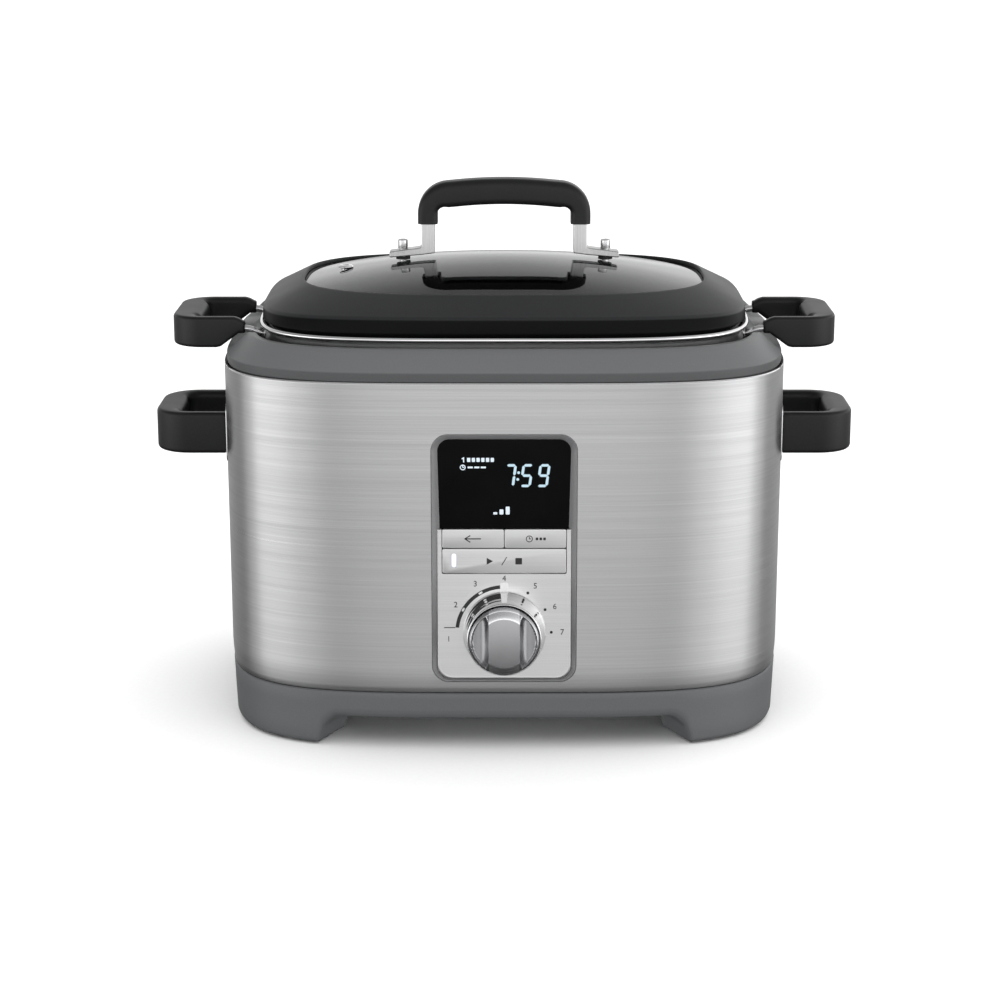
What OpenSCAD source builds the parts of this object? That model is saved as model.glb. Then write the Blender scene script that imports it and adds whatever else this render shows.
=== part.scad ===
// Programmable oval slow cooker with a lift-out steel pot and a glass lid.
// Millimetres, +Z up, the control panel faces -Y. The origin is on the standing surface,
// under the middle of the whole footprint.

/* [Body] */
// Width of the steel body
body_w = 384; // [360:2:400]
// Depth of the steel body
body_d = 294.8; // [280:0.2:310]
// Height where the steel wrap starts, above the standing surface
steel_bottom_z = 40.5; // [36:0.5:44]
// Height of the steel wrap's top edge
steel_top_z = 251.7; // [250:0.1:253]
// Thickness of the steel sheet
steel_t = 0.8; // [0.5:0.1:1.2]
// Roundness of the oval plan: 2 is an ellipse and a large value is a rectangle
plan_power = 4; // [3:0.1:5]

/* [Base] */
// Height of the arches between the feet
arch_h = 21; // [18:1:24]
// Half width of the front arch
arch_half_w = 132; // [120:1:136]
// Half depth of the side arches
arch_half_d = 74; // [60:1:84]
// Radius of the rubber pads
pad_r = 9; // [6:0.5:10]

/* [Shoulder ring] */
// Height of the ring's crest
crest_z = 271; // [269:0.5:272]
// Depth of the saddles that the pot's handles rest over
saddle_depth = 8.5; // [7:0.5:9]
// Half length of a saddle
saddle_half = 52; // [50:1:56]

/* [Pot] */
// Half width of the pot's wall under the rim
pot_a = 165.2; // [164:0.1:165.5]
// Half depth of the pot's wall under the rim
pot_b = 121.2; // [120:0.1:121.5]
// Height of the pot's underside
pot_bottom_z = 128; // [126:1:132]
// Height of the rolled rim's centre
rim_z = 275.6; // [275:0.1:276]
// Thickness of the pot's wall
pot_t = 1.2; // [0.8:0.1:1.6]

/* [Lid] */
// Half width of the lid's frame
lid_a = 166.4; // [165:0.1:167]
// Half depth of the lid's frame
lid_b = 121; // [120:0.1:122]
// Half width of the window in the frame
window_a = 139; // [136:0.5:140]
// Half depth of the window in the frame
window_b = 93.2; // [90:0.1:94]
// Rise of the glass dome
dome_rise = 16.4; // [12:0.1:18]
// Top of the lid's grip
grip_top_z = 367.5; // [360:0.5:368]
// Half length of the lid's grip
grip_half = 60.1; // [58:0.1:62]

/* [Handles] */
// How far the body's handles reach from the middle
body_handle_x = 244.5; // [238:0.5:250]
// Half length of a body handle
body_handle_half = 41.4; // [40:0.1:44]
// Underside of the body's handles
body_handle_z = 180; // [176:1:184]
// Height of a body handle
body_handle_h = 29; // [26:1:32]
// How far the pot's handles reach from the middle
pot_handle_x = 230; // [226:0.5:234]
// Half length of a pot handle
pot_handle_half = 44; // [42:0.1:46]
// Underside of the pot's handles
pot_handle_z = 255.5; // [254:0.5:256]
// Height of a pot handle
pot_handle_h = 21.3; // [20:0.1:22]

/* [Control panel] */
// Half width of the opening in the steel
panel_half = 48.2; // [47:0.1:50]
// Bottom of the opening
panel_z0 = 48.1; // [47:0.1:50]
// Top of the opening
panel_z1 = 218; // [216:0.1:220]
// Corner radius of the opening
panel_r = 11.5; // [10:0.1:12]
// Height of the joint between the buttons and the display
display_z0 = 153.5; // [152:0.1:155]
// Height of the dial's centre
dial_z = 82.25; // [80:0.25:84]
// How far a button travels
button_travel = 1; // [0.6:0.1:1.2]

/* [Knob] */
// Radius of the chrome skirt at the panel
skirt_r = 27.7; // [26:0.1:29]
// Radius of the knob's face
knob_r = 24.3; // [22:0.1:24.5]
// Width of the grip bar across the knob
grip_bar_w = 20.4; // [18:0.1:22]
// Radius of the shaft
shaft_r = 3; // [2.5:0.1:3.5]

/* [Cord inlet] */
// Radius of the hole for the cord
cord_hole_r = 3.6; // [3:0.1:4]
// How far the gland stands out of the back
gland_out = 6; // [4:0.5:8]

/* [Hidden] */
plan_steps = 64;
body_a = body_w / 2;
body_b = body_d / 2;
steel_in_a = body_a - steel_t;
steel_in_b = body_b - steel_t;
base_top_z = steel_bottom_z - 0.3;
base_foot_a = body_a - 1.9;
base_foot_b = body_b - 0.9;
foot_bar = 34;
floor_gap = 1;
pad_x = 147;
pad_y = 109;
cover_z = 19;
flange_t = 3;
well_a = 168.6;
well_b = 122.4;
well_t = 0.8;
well_floor_z = 110;
well_top_z = 253;
plate_top_z = pot_bottom_z - 0.2;
plate_t = 8.8;
element_r = 70;
sensor_r = 17.5;
sensor_travel = 2.5;
support_x = 120;
support_y = 80;
front_y = -body_b;
glass_y = front_y + 4;
plate_y = front_y + 2.5;
plate_thick = 2;
button_y = plate_y - 0.4;
button_half = 41;
button_row_z = 140;
start_bottom_z = 123;
board_y = front_y + 14;
board_t = 1.6;
skirt_y = plate_y - 1.1;
skirt_depth = 17;
cap_depth = 9.8;
knob_nose_y = skirt_y - skirt_depth - cap_depth + 2;
gland_z = 31;
gland_back_y = body_b + gland_out;
body_y = -(knob_nose_y + gland_back_y) / 2;
bolt_x = 70.8;
bracket_in_x = 48.4;
bracket_out_x = 57.6;
bracket_half = 6;
grip_half_y = 10;
vent_x = -111;
rod_r = 2.4;
rod_y = 39.6;
handle_screw_y = 36.6;
handle_screw_z = 194.5;
light_x = -33.3;
light_z = 131.7;
glass_edge_z = 297.7;
window_power = 3;
lid_sag = 3.5;
glass_t = 4;
fine = 64;

// ---- oval plan ----

function oval_point(a, b, t) =
    [a * sign(cos(t)) * pow(abs(cos(t)), 2 / plan_power),
     b * sign(sin(t)) * pow(abs(sin(t)), 2 / plan_power)];

function oval(a, b) = [for (i = [0:plan_steps - 1]) oval_point(a, b, i * 360 / plan_steps)];

// One ring of a loft: the oval a by b at height z.
function ring(a, b, z) = [for (p = oval(a, b)) [p[0], p[1], z]];

// A ring with its own roundness, sunk by up to sag towards both ends of the lid.
function sunk_ring(a, b, z, power, sag) = [
    for (i = [0:plan_steps - 1])
        let (
            c = cos(i * 360 / plan_steps),
            s = sin(i * 360 / plan_steps),
            x = a * sign(c) * pow(abs(c), 2 / power)
        )
        [x, b * sign(s) * pow(abs(s), 2 / power), z - sag * pow(x / lid_a, 4)]
];

// Puts a piece built about the body's own middle into the part's frame.
module at_body() {
    translate([0, body_y, 0]) children();
}

module oval_slab(a, b, z0, z1) {
    translate([0, 0, z0]) linear_extrude(z1 - z0) polygon(oval(a, b));
}

// A wall of thickness t inside the oval a by b.
module oval_wall(a, b, t, z0, z1) {
    difference() {
        oval_slab(a, b, z0, z1);
        oval_slab(a - t, b - t, z0 - 1, z1 + 1);
    }
}

// Joins rings of points: as a closed loop of rings, or as a solid with two end caps.
module loft(rings, loop) {
    n = len(rings[0]);
    m = len(rings);
    last = loop ? m - 1 : m - 2;
    sides = [
        for (r = [0:last], i = [0:n - 1], k = [0:1])
            let (s = (r + 1) % m, j = (i + 1) % n)
                k == 0 ? [r * n + i, s * n + i, s * n + j] : [r * n + i, s * n + j, r * n + j]
    ];
    caps = loop ? [] : [[for (i = [0:n - 1]) i], [for (i = [n - 1:-1:0]) (m - 1) * n + i]];
    polyhedron([for (r = rings) for (p = r) p], concat(sides, caps), convexity = 6);
}

// A round wire of radius r along a list of points.
function wire_ring(path, i, r, steps) =
    let (
        m = len(path) - 1,
        along = path[min(i + 1, m)] - path[max(i - 1, 0)],
        way = along / norm(along),
        side0 = abs(way[2]) < 0.9 ? cross(way, [0, 0, 1]) : cross(way, [1, 0, 0]),
        side = side0 / norm(side0),
        up = cross(side, way)
    )
    [for (k = [0:steps - 1])
        path[i] + r * cos(k * 360 / steps) * side + r * sin(k * 360 / steps) * up];

module wire(path, r, steps) {
    loft([for (i = [len(path) - 1:-1:0]) wire_ring(path, i, r, steps)], false);
}

// ---- outlines with round corners ----

function arc(cx, cy, r, from, to) =
    [for (k = [0:8]) [cx + r * cos(from + (to - from) * k / 8), cy + r * sin(from + (to - from) * k / 8)]];

// Rectangle with one radius at its two low corners and another at its two high ones.
function round_rect(x0, x1, y0, y1, r_low, r_high) = concat(
    arc(x1 - r_low, y0 + r_low, r_low, -90, 0),
    arc(x1 - r_high, y1 - r_high, r_high, 0, 90),
    arc(x0 + r_high, y1 - r_high, r_high, 90, 180),
    arc(x0 + r_low, y0 + r_low, r_low, 180, 270)
);

// An outline drawn in X and Z, extruded from y0 towards the back to y1.
module front_slab(points, y0, y1) {
    translate([0, y1, 0]) rotate([90, 0, 0]) linear_extrude(y1 - y0) polygon(points);
}

module front_rect(x0, x1, z0, z1, r_low, r_high, y0, y1) {
    front_slab(round_rect(x0, x1, z0, z1, r_low, r_high), y0, y1);
}

// A cylinder along Y between y0 and y1.
module y_rod(x, z, r, y0, y1) {
    translate([x, y1, z]) rotate([90, 0, 0]) cylinder(r = r, h = y1 - y0, $fn = fine);
}

module x_rod(y, z, r, x0, x1) {
    translate([x0, y, z]) rotate([0, 90, 0]) cylinder(r = r, h = x1 - x0, $fn = fine);
}

module z_rod(x, y, r, z0, z1) {
    translate([x, y, z0]) cylinder(r = r, h = z1 - z0, $fn = fine);
}

// Draws its children as they are, or mirrored to the -X side.
module on_side(side) {
    mirror([side < 0 ? 1 : 0, 0, 0]) children();
}

// ---- base ----

// The space under the apron, between the four corner feet.
module arches() {
    flare = 17;
    front = body_b + 10;
    side = body_a + 10;
    inner_x = arch_half_w - flare;
    inner_y = arch_half_d - flare;
    bar_x = body_a - foot_bar;
    bar_y = body_b - foot_bar;
    quarter = [
        [side, arch_half_d], [bar_x + flare, arch_half_d], [bar_x, inner_y], [inner_x, inner_y],
        [inner_x, bar_y], [arch_half_w, bar_y + flare], [arch_half_w, front]
    ];
    translate([0, 0, -1])
        linear_extrude(arch_h + 1)
            for (mx = [0, 1], my = [0, 1])
                mirror([mx, 0, 0]) mirror([0, my, 0])
                    polygon(concat([[0, 0], [side, 0]], quarter, [[0, front]]));
    oval_slab(bar_x, bar_y, -1, arch_h);
}

module base_pan() {
    wall = 3;
    color([0.37, 0.38, 0.39]) at_body() {
        difference() {
            loft([
                ring(base_foot_a, base_foot_b, floor_gap),
                ring(body_a - 0.4, body_b, steel_bottom_z - 8),
                ring(body_a - 0.4, body_b, base_top_z)
            ], false);
            arches();
            oval_slab(body_a - 0.4 - wall, body_b - wall, arch_h + flange_t, 60);
            oval_slab(body_a - foot_bar - 10, body_b - foot_bar - 10, 0, 60);
            for (sx = [-1, 1], sy = [-1, 1]) {
                z_rod(sx * pad_x, sy * pad_y, pad_r + 0.1, -1, 4.2);
                z_rod(sx * (body_a - foot_bar - 5), sy * 30, 1.6, 10, 60);
                z_rod(sx * 60, sy * (body_b - foot_bar - 5), 1.6, 10, 60);
                z_rod(sx * support_x, sy * support_y, 2.2, 10, 60);
            }
            y_rod(0, gland_z, 6, body_b - 8, body_b + 2);
        }
        // tongue that locates the steel wrap
        oval_wall(steel_in_a - 0.2, steel_in_b - 0.2, 2, base_top_z - 3, base_top_z + 6);
    }
}

module rubber_feet() {
    color([0.12, 0.12, 0.12]) at_body()
        for (sx = [-1, 1], sy = [-1, 1])
            z_rod(sx * pad_x, sy * pad_y, pad_r, 0, 4);
}

module bottom_cover() {
    slot_l = 60;
    color([0.3, 0.3, 0.31]) at_body()
        difference() {
            oval_slab(body_a - foot_bar - 1, body_b - foot_bar - 1, cover_z, arch_h - 0.1);
            for (i = [-3:3])
                translate([i * 16 - 2.5, -slot_l / 2, 10]) cube([5, slot_l, 20]);
            for (sx = [-1, 1], sy = [-1, 1]) {
                z_rod(sx * (body_a - foot_bar - 5), sy * 30, 1.9, 10, 30);
                z_rod(sx * 60, sy * (body_b - foot_bar - 5), 1.9, 10, 30);
            }
        }
}

module cover_screw(x, y) {
    z_rod(x, y, 1.5, cover_z, arch_h + flange_t + 4);
    difference() {
        z_rod(x, y, 3, cover_z - 1.8, cover_z);
        translate([x - 2, y - 0.4, cover_z - 2.8]) cube([4, 0.8, 1.9]);
    }
}

module cover_screws() {
    color([0.75, 0.75, 0.76]) at_body()
        for (sx = [-1, 1], sy = [-1, 1]) {
            cover_screw(sx * (body_a - foot_bar - 5), sy * 30);
            cover_screw(sx * 60, sy * (body_b - foot_bar - 5));
        }
}

// ---- body shell ----

module steel_wrap() {
    color([0.74, 0.75, 0.76]) at_body()
        difference() {
            oval_wall(body_a, body_b, steel_t, steel_bottom_z, steel_top_z);
            front_rect(-panel_half, panel_half, panel_z0, panel_z1, panel_r, panel_r,
                front_y - 2, front_y + 6);
            for (sy = [-1, 1])
                x_rod(sy * handle_screw_y, handle_screw_z, 2.2, -body_a - 2, body_a + 2);
        }
}

// How far the ring's crest dips at a point, for the pot's handles.
function dip(p) =
    let (f = max(0, min(1, (abs(p[1]) - saddle_half) / 16)))
    abs(p[0]) < body_a / 2 ? 0 : saddle_depth * (1 - f * f * (3 - 2 * f));

function dipped_ring(a, b, z) = [for (p = oval(a, b)) [p[0], p[1], z - dip(p)]];

module shoulder_ring() {
    color([0.38, 0.39, 0.4]) at_body()
        loft([
            ring(steel_in_a - 0.2, steel_in_b - 0.2, steel_top_z - 6),
            ring(steel_in_a - 0.2, steel_in_b - 0.2, steel_top_z - 0.2),
            ring(body_a - 1.5, body_b - 1.5, steel_top_z + 0.2),
            ring(body_a - 1.5, body_b - 1.5, 258),
            dipped_ring(178.4, 132.6, crest_z - 1.2),
            dipped_ring(176.4, 130.4, crest_z),
            dipped_ring(171.6, 125.6, crest_z - 0.4),
            dipped_ring(170.8, 124.8, crest_z - 1.6),
            ring(170.8, 124.8, well_top_z),
            ring(173.8, 127.8, well_top_z),
            dipped_ring(175.6, 129.6, crest_z - 4),
            ring(body_a - 4.4, body_b - 4.4, 255),
            ring(body_a - 4.4, body_b - 4.4, steel_top_z - 6)
        ], true);
}

// ---- heating ----

module heating_well() {
    color([0.62, 0.63, 0.64]) at_body()
        difference() {
            union() {
                oval_wall(well_a, well_b, well_t, well_floor_z, well_top_z - 0.2);
                oval_wall(174, 127.8, 174 - well_a + well_t, well_top_z - 1.2, well_top_z - 0.2);
                oval_slab(well_a, well_b, well_floor_z, well_floor_z + 1);
            }
            z_rod(0, 0, 30, well_floor_z - 5, well_floor_z + 5);
            for (sx = [-1, 1], sy = [-1, 1])
                z_rod(sx * support_x, sy * support_y, 2.2, well_floor_z - 5, well_floor_z + 5);
            for (sx = [-1, 1])
                z_rod(sx * 40, 0, 4, well_floor_z - 5, well_floor_z + 5);
        }
}

module band_heater() {
    color([0.72, 0.7, 0.64]) at_body() {
        oval_wall(well_a + 1.2, well_b + 1.2, 1, 132, 186);
        translate([-14, well_b + 1, 150]) cube([28, 2.2, 16]);
    }
}

module insulation_blanket() {
    color([0.9, 0.88, 0.82]) at_body()
        difference() {
            oval_wall(well_a + 6, well_b + 6, 4.4, 120, 236);
            translate([-20, well_b, 144]) cube([40, 12, 28]);
        }
}

module heating_plate() {
    top = plate_top_z;
    color([0.66, 0.67, 0.68]) at_body()
        difference() {
            union() {
                z_rod(0, 0, 96, top - plate_t, top);
                for (k = [0:2])
                    rotate([0, 0, 90 + 120 * k]) z_rod(84, 0, 5, well_floor_z + 1, top - 4);
            }
            z_rod(0, 0, sensor_r + 0.6, top - 20, top + 1);
        }
}

module heating_element() {
    end_z = well_floor_z + 4.4;
    color([0.55, 0.5, 0.46]) at_body() {
        translate([0, 0, end_z])
            rotate_extrude(angle = 330, $fn = 96) translate([element_r, 0]) circle(r = 3.4, $fn = 24);
        for (x = [-40, 40])
            z_rod(x, 0, 2.4, well_floor_z - 12, well_floor_z + 6);
    }
}

module thermal_fuse() {
    color([0.85, 0.82, 0.74]) at_body()
        x_rod(-46, well_floor_z + 4.6, 3.2, -14, 14);
}

module sensor_bracket() {
    floor_z = well_floor_z - 8;
    color([0.7, 0.71, 0.72]) at_body()
        difference() {
            union() {
                z_rod(0, 0, 21, floor_z, floor_z + 1.2);
                difference() {
                    z_rod(0, 0, 21, floor_z, well_floor_z - 1.2);
                    z_rod(0, 0, 20, floor_z - 1, well_floor_z + 1);
                }
                difference() {
                    z_rod(0, 0, 34, well_floor_z - 1.2, well_floor_z - 0.2);
                    z_rod(0, 0, 20, well_floor_z - 3, well_floor_z + 1);
                }
            }
            z_rod(0, 0, 4.2, floor_z - 2, floor_z + 3);
        }
}

module sensor_spring() {
    turns = 4;
    low = well_floor_z - 8 + 1.2 + 0.75;
    high = plate_top_z - 8 - 0.75;
    color([0.8, 0.8, 0.8]) at_body()
        wire([for (i = [0:turns * 16])
            let (t = i / (turns * 16))
            [11 * cos(360 * turns * t), 11 * sin(360 * turns * t), low + (high - low) * t]],
            0.7, 6);
}

module sensor_plunger() {
    top = plate_top_z;
    color([0.78, 0.79, 0.8]) at_body() {
        difference() {
            z_rod(0, 0, sensor_r, top - 12, top);
            z_rod(0, 0, sensor_r - 1.2, top - 13, top - 8);
        }
        z_rod(0, 0, 4, well_floor_z - 14, top - 7);
    }
}

module heat_shield() {
    z = 90;
    color([0.7, 0.71, 0.72]) at_body()
        difference() {
            union() {
                oval_slab(150, 108, z, z + 0.8);
                oval_wall(150, 108, 0.8, z, z + 6);
            }
            for (sx = [-1, 1], sy = [-1, 1])
                z_rod(sx * support_x, sy * support_y, 5.2, z - 5, z + 9);
            for (x = [-40, 40])
                z_rod(x, 0, 9, z - 5, z + 9);
        }
}

module well_supports() {
    color([0.6, 0.6, 0.62]) at_body()
        for (sx = [-1, 1], sy = [-1, 1]) {
            z_rod(sx * support_x, sy * support_y, 5, arch_h + flange_t + 0.2, well_floor_z - 0.2);
            z_rod(sx * support_x, sy * support_y, 2, arch_h + 0.2, arch_h + flange_t + 1);
            z_rod(sx * support_x, sy * support_y, 2, well_floor_z - 1, well_floor_z + 1);
            z_rod(sx * support_x, sy * support_y, 4, well_floor_z + 1, well_floor_z + 3);
        }
}

// ---- electronics ----

module power_board() {
    z = 36;
    color([0.12, 0.36, 0.2]) at_body() {
        difference() {
            translate([-70, -50, z]) cube([140, 100, board_t]);
            for (sx = [-1, 1], sy = [-1, 1])
                z_rod(sx * 64, sy * 44, 1.7, z - 3, z + 5);
        }
        // relays, transformer, capacitors and heat sink
        translate([-60, -20, z + board_t]) cube([19, 15.5, 15.5]);
        translate([-60, 4, z + board_t]) cube([19, 15.5, 15.5]);
        translate([20, -20, z + board_t]) cube([34, 28, 24]);
        translate([-30, -36, z + board_t]) cube([40, 6, 28]);
        for (x = [-22, -4, 14])
            z_rod(x, 34, 6, z + board_t, z + board_t + 20);
        // standoffs on the base's flange cover
        for (sx = [-1, 1], sy = [-1, 1])
            difference() {
                z_rod(sx * 64, sy * 44, 4, arch_h, z);
                z_rod(sx * 64, sy * 44, 1.3, arch_h + 2, z + 1);
            }
    }
}

module control_board() {
    color([0.12, 0.36, 0.2]) at_body() {
        difference() {
            front_rect(-43, 43, 58, 206, 1, 1, board_y, board_y + board_t);
            for (sx = [-1, 1])
                for (z = [64, 118])
                    y_rod(sx * 37, z, 1.6, board_y - 3, board_y + 5);
        }
        translate([-32, board_y + board_t, 66]) cube([14, 2, 14]);
        translate([18, board_y + board_t, 62]) cube([16, 5, 6]);
    }
}

module tact_switches() {
    color([0.2, 0.2, 0.21]) at_body()
        for (p = [[-21, 146.5], [21, 146.5], [-12, 131.5], [12, 131.5]]) {
            translate([p[0] - 3, board_y - 4.3, p[1] - 3]) cube([6, 4.3, 6]);
            y_rod(p[0], p[1], 1.7, board_y - 5.3, board_y - 4.3);
        }
}

module lcd_module() {
    color([0.1, 0.1, 0.11]) at_body()
        front_rect(-38, 38, 158, 204, 1, 1, board_y - 5.4, board_y);
}

module rotary_switch() {
    color([0.6, 0.6, 0.62]) at_body()
        difference() {
            union() {
                front_rect(-8, 8, dial_z - 8, dial_z + 8, 1, 1, board_y - 7, board_y);
                y_rod(0, dial_z, 4.6, plate_y - 0.6, board_y - 7);
            }
            y_rod(0, dial_z, shaft_r + 0.05, plate_y - 2, board_y - 2);
        }
}

// Smooth route through a short list of points.
function bend(p, q, r, t) = (1 - t) * (1 - t) * p + 2 * t * (1 - t) * q + t * t * r;

module wiring_harness() {
    color([0.8, 0.2, 0.15]) at_body() {
        wire([for (i = [0:10]) bend([26, board_y + 9, 65], [26, -96, 50], [-4, -70, 45], i / 10)],
            2.2, 8);
        wire([for (i = [0:10]) bend([-4, -70, 45], [-20, -60, 42], [-24, -51.2, 39.5], i / 10)],
            1.8, 8);
        for (x = [-40, 40])
            wire([for (i = [0:10])
                bend([x, 0, well_floor_z - 12.2], [x, 0, 60], [x * 0.8, 28, 56], i / 10)], 1.6, 8);
    }
}

module cord_gland() {
    color([0.08, 0.08, 0.08]) at_body()
        difference() {
            union() {
                y_rod(0, gland_z, 8.5, body_b + 0.2, body_b + 2.6);
                y_rod(0, gland_z, 6.6, body_b + 2.5, gland_back_y);
                y_rod(0, gland_z, 5.9, body_b - 3.4, body_b + 0.3);
                y_rod(0, gland_z, 6.7, body_b - 6, body_b - 3.2);
            }
            y_rod(0, gland_z, cord_hole_r, body_b - 8, gland_back_y + 2);
        }
}

// ---- control panel ----

module panel_bezel() {
    back_y = front_y + 11;
    color([0.45, 0.46, 0.47]) at_body()
        difference() {
            front_rect(-panel_half + 0.2, panel_half - 0.2, panel_z0 + 0.2, panel_z1 - 0.2,
                panel_r - 0.2, panel_r - 0.2, front_y + 0.2, back_y);
            hull() {
                front_rect(-panel_half + 0.8, panel_half - 0.8, panel_z0 + 0.4, panel_z1 - 0.8,
                    panel_r - 0.8, panel_r - 0.8, front_y - 0.1, front_y);
                front_rect(-44.6, 44.6, panel_z0 + 0.6, 214.2, 10.4, 9,
                    front_y + 4, front_y + 4.2);
            }
            front_rect(-44.6, 44.6, panel_z0 + 1.2, 214.2, 10.4, 9, front_y + 4, back_y - 1.6);
            front_rect(-42.2, 42.2, 56, 210, 4, 4, front_y + 4, back_y + 2);
        }
}

module panel_plate() {
    color([0.78, 0.79, 0.8]) at_body()
        difference() {
            front_rect(-44.4, 44.4, panel_z0 + 1.4, display_z0 - 0.2, 10, 0.6,
                plate_y, plate_y + plate_thick);
            front_rect(-button_half - 0.3, button_half + 0.3, start_bottom_z - 0.3,
                display_z0 + 5, 0.8, 0.4, plate_y - 1, plate_y + plate_thick + 1);
            y_rod(0, dial_z, 4.8, plate_y - 1, plate_y + plate_thick + 1);
        }
}

// Ring of width w at radius r about the dial's centre, between two angles from the top.
module dial_arc(r, w, from, to, y0, y1) {
    outline = concat(
        [for (k = [0:24]) let (t = from + (to - from) * k / 24) [r * sin(t), dial_z + r * cos(t)]],
        [for (k = [24:-1:0]) let (t = from + (to - from) * k / 24)
            [(r - w) * sin(t), dial_z + (r - w) * cos(t)]]
    );
    front_slab(outline, y0, y1);
}

module dial_markings() {
    dots_r = 31.4;
    y0 = plate_y - 0.12;
    y1 = plate_y - 0.01;
    color([0.05, 0.05, 0.05]) at_body() {
        difference() {
            dial_arc(dots_r + 1.2, 2.4, -84, -5, y0, y1);
            for (t = [-60, -30])
                y_rod(dots_r * sin(t), dial_z + dots_r * cos(t), 1, y0 - 1, y1 + 1);
        }
        for (t = [30, 60, 90])
            y_rod(dots_r * sin(t), dial_z + dots_r * cos(t), 0.85, y0, y1);
    }
}

module display_glass() {
    color([0.03, 0.03, 0.03]) at_body()
        front_rect(-44, 44, display_z0 + 0.2, 213.8, 0.6, 8.6, glass_y, glass_y + 2);
}

module push_button(x0, x1, z0, z1, stems) {
    difference() {
        front_rect(x0, x1, z0, z1, 0.6, 0.6, button_y, plate_y + plate_thick + 2);
        front_rect(x0 + 1.2, x1 - 1.2, z0 + 1.2, z1 - 1.2, 0.4, 0.4,
            plate_y + plate_thick, plate_y + plate_thick + 3);
    }
    for (s = stems)
        y_rod(s[0], s[1], 1.8, plate_y + plate_thick - 0.5, board_y - 5.4 - button_travel);
}

module back_button() {
    color([0.8, 0.81, 0.82]) at_body()
        push_button(-button_half, -0.35, button_row_z + 0.2, display_z0 - 0.4, [[-21, 146.5]]);
}

module timer_button() {
    color([0.8, 0.81, 0.82]) at_body()
        push_button(0.35, button_half, button_row_z + 0.2, display_z0 - 0.4, [[21, 146.5]]);
}

module start_button() {
    color([0.8, 0.81, 0.82]) at_body()
        difference() {
            push_button(-button_half, button_half, start_bottom_z, button_row_z - 0.2,
                [[-12, 131.5], [12, 131.5]]);
            front_rect(light_x - 1.7, light_x + 1.7, light_z - 4.7, light_z + 4.7, 1.6, 1.6,
                button_y - 1, plate_y + plate_thick + 1);
        }
}

module start_light() {
    color([0.97, 0.98, 1]) at_body()
        front_rect(light_x - 1.6, light_x + 1.6, light_z - 4.6, light_z + 4.6, 1.5, 1.5,
            button_y - 0.1, plate_y + plate_thick + 1.4);
}

// ---- knob ----

module knob_shaft() {
    color([0.7, 0.7, 0.72]) at_body()
        y_rod(0, dial_z, shaft_r, skirt_y - skirt_depth - 3, board_y - 2.5);
}

// Turns a profile of [radius, distance in front of the panel] about the dial's axis.
module dial_turned(profile) {
    translate([0, skirt_y, dial_z]) rotate([90, 0, 0])
        rotate_extrude($fn = 96) polygon(profile);
}

module knob_skirt() {
    color([0.85, 0.86, 0.87]) at_body()
        dial_turned([
            [skirt_r - 1.4, 0], [skirt_r - 0.3, 0], [skirt_r, 0.4], [24.7, skirt_depth],
            [23.4, skirt_depth], [23.4, skirt_depth - 1.4], [skirt_r - 2, 1.4]
        ]);
}

module knob_cap() {
    scoop_r = 8;
    scoop_out = 10;
    color([0.62, 0.63, 0.64]) at_body()
        difference() {
            dial_turned([
                [shaft_r + 0.05, 2], [8, 2], [8, skirt_depth - 2], [23.2, skirt_depth - 2],
                [23.2, skirt_depth + 0.4], [knob_r, skirt_depth + 0.4],
                [knob_r, skirt_depth + 4.2], [knob_r - 2.2, skirt_depth + 6],
                [12, skirt_depth + 7.6], [0, skirt_depth + 7.8], [0, skirt_depth + 3.2],
                [shaft_r + 0.05, skirt_depth + 3.2]
            ]);
            for (side = [-1, 1])
                translate([side * (grip_bar_w / 2 + scoop_r), skirt_y - skirt_depth - scoop_out,
                    dial_z - 40])
                    cylinder(r = scoop_r, h = 80, $fn = fine);
        }
}

// ---- body handles ----

// A bow handle seen from above: two arms joined by an end bar with round outer corners.
module bow(x0, x1, half, arm, bar, r_out, r_in, z0, z1) {
    translate([0, 0, z0]) linear_extrude(z1 - z0)
        difference() {
            polygon(concat(
                [[x0, -half]],
                arc(x1 - r_out, -half + r_out, r_out, -90, 0),
                arc(x1 - r_out, half - r_out, r_out, 0, 90),
                [[x0, half]]
            ));
            polygon(concat(
                [[x0 - 5, -half + arm]],
                arc(x1 - bar - r_in, -half + arm + r_in, r_in, -90, 0),
                arc(x1 - bar - r_in, half - arm - r_in, r_in, 0, 90),
                [[x0 - 5, half - arm]]
            ));
        }
}

module handle_plate(side) {
    half = 50;
    color([0.85, 0.86, 0.87]) at_body() on_side(side)
        difference() {
            intersection() {
                oval_wall(body_a + 1.5, body_b + 1.5, 1.45, 170, 222);
                rotate([90, 0, 90]) translate([0, 0, 100]) linear_extrude(120)
                    polygon(round_rect(-half, half, 176, 216, 5, 5));
            }
            for (sy = [-1, 1])
                x_rod(sy * handle_screw_y, handle_screw_z, 2.2, body_a - 10, body_a + 10);
        }
}

module body_handle(side) {
    z0 = body_handle_z;
    z1 = body_handle_z + body_handle_h;
    color([0.11, 0.11, 0.12]) at_body() on_side(side)
        difference() {
            bow(body_a + 1.6, body_handle_x, body_handle_half, 9.6, 18, 25, 13, z0, z1);
            for (sy = [-1, 1])
                x_rod(sy * handle_screw_y, handle_screw_z, 2, body_a - 2, body_a + 16);
        }
}

module handle_screws() {
    color([0.75, 0.75, 0.76]) at_body()
        for (side = [-1, 1], sy = [-1, 1])
            on_side(side) {
                x_rod(sy * handle_screw_y, handle_screw_z, 1.95, body_a - 3, body_a + 15);
                x_rod(sy * handle_screw_y, handle_screw_z, 4, body_a - 6, body_a - 2.6);
            }
}

// ---- pot ----

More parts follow.
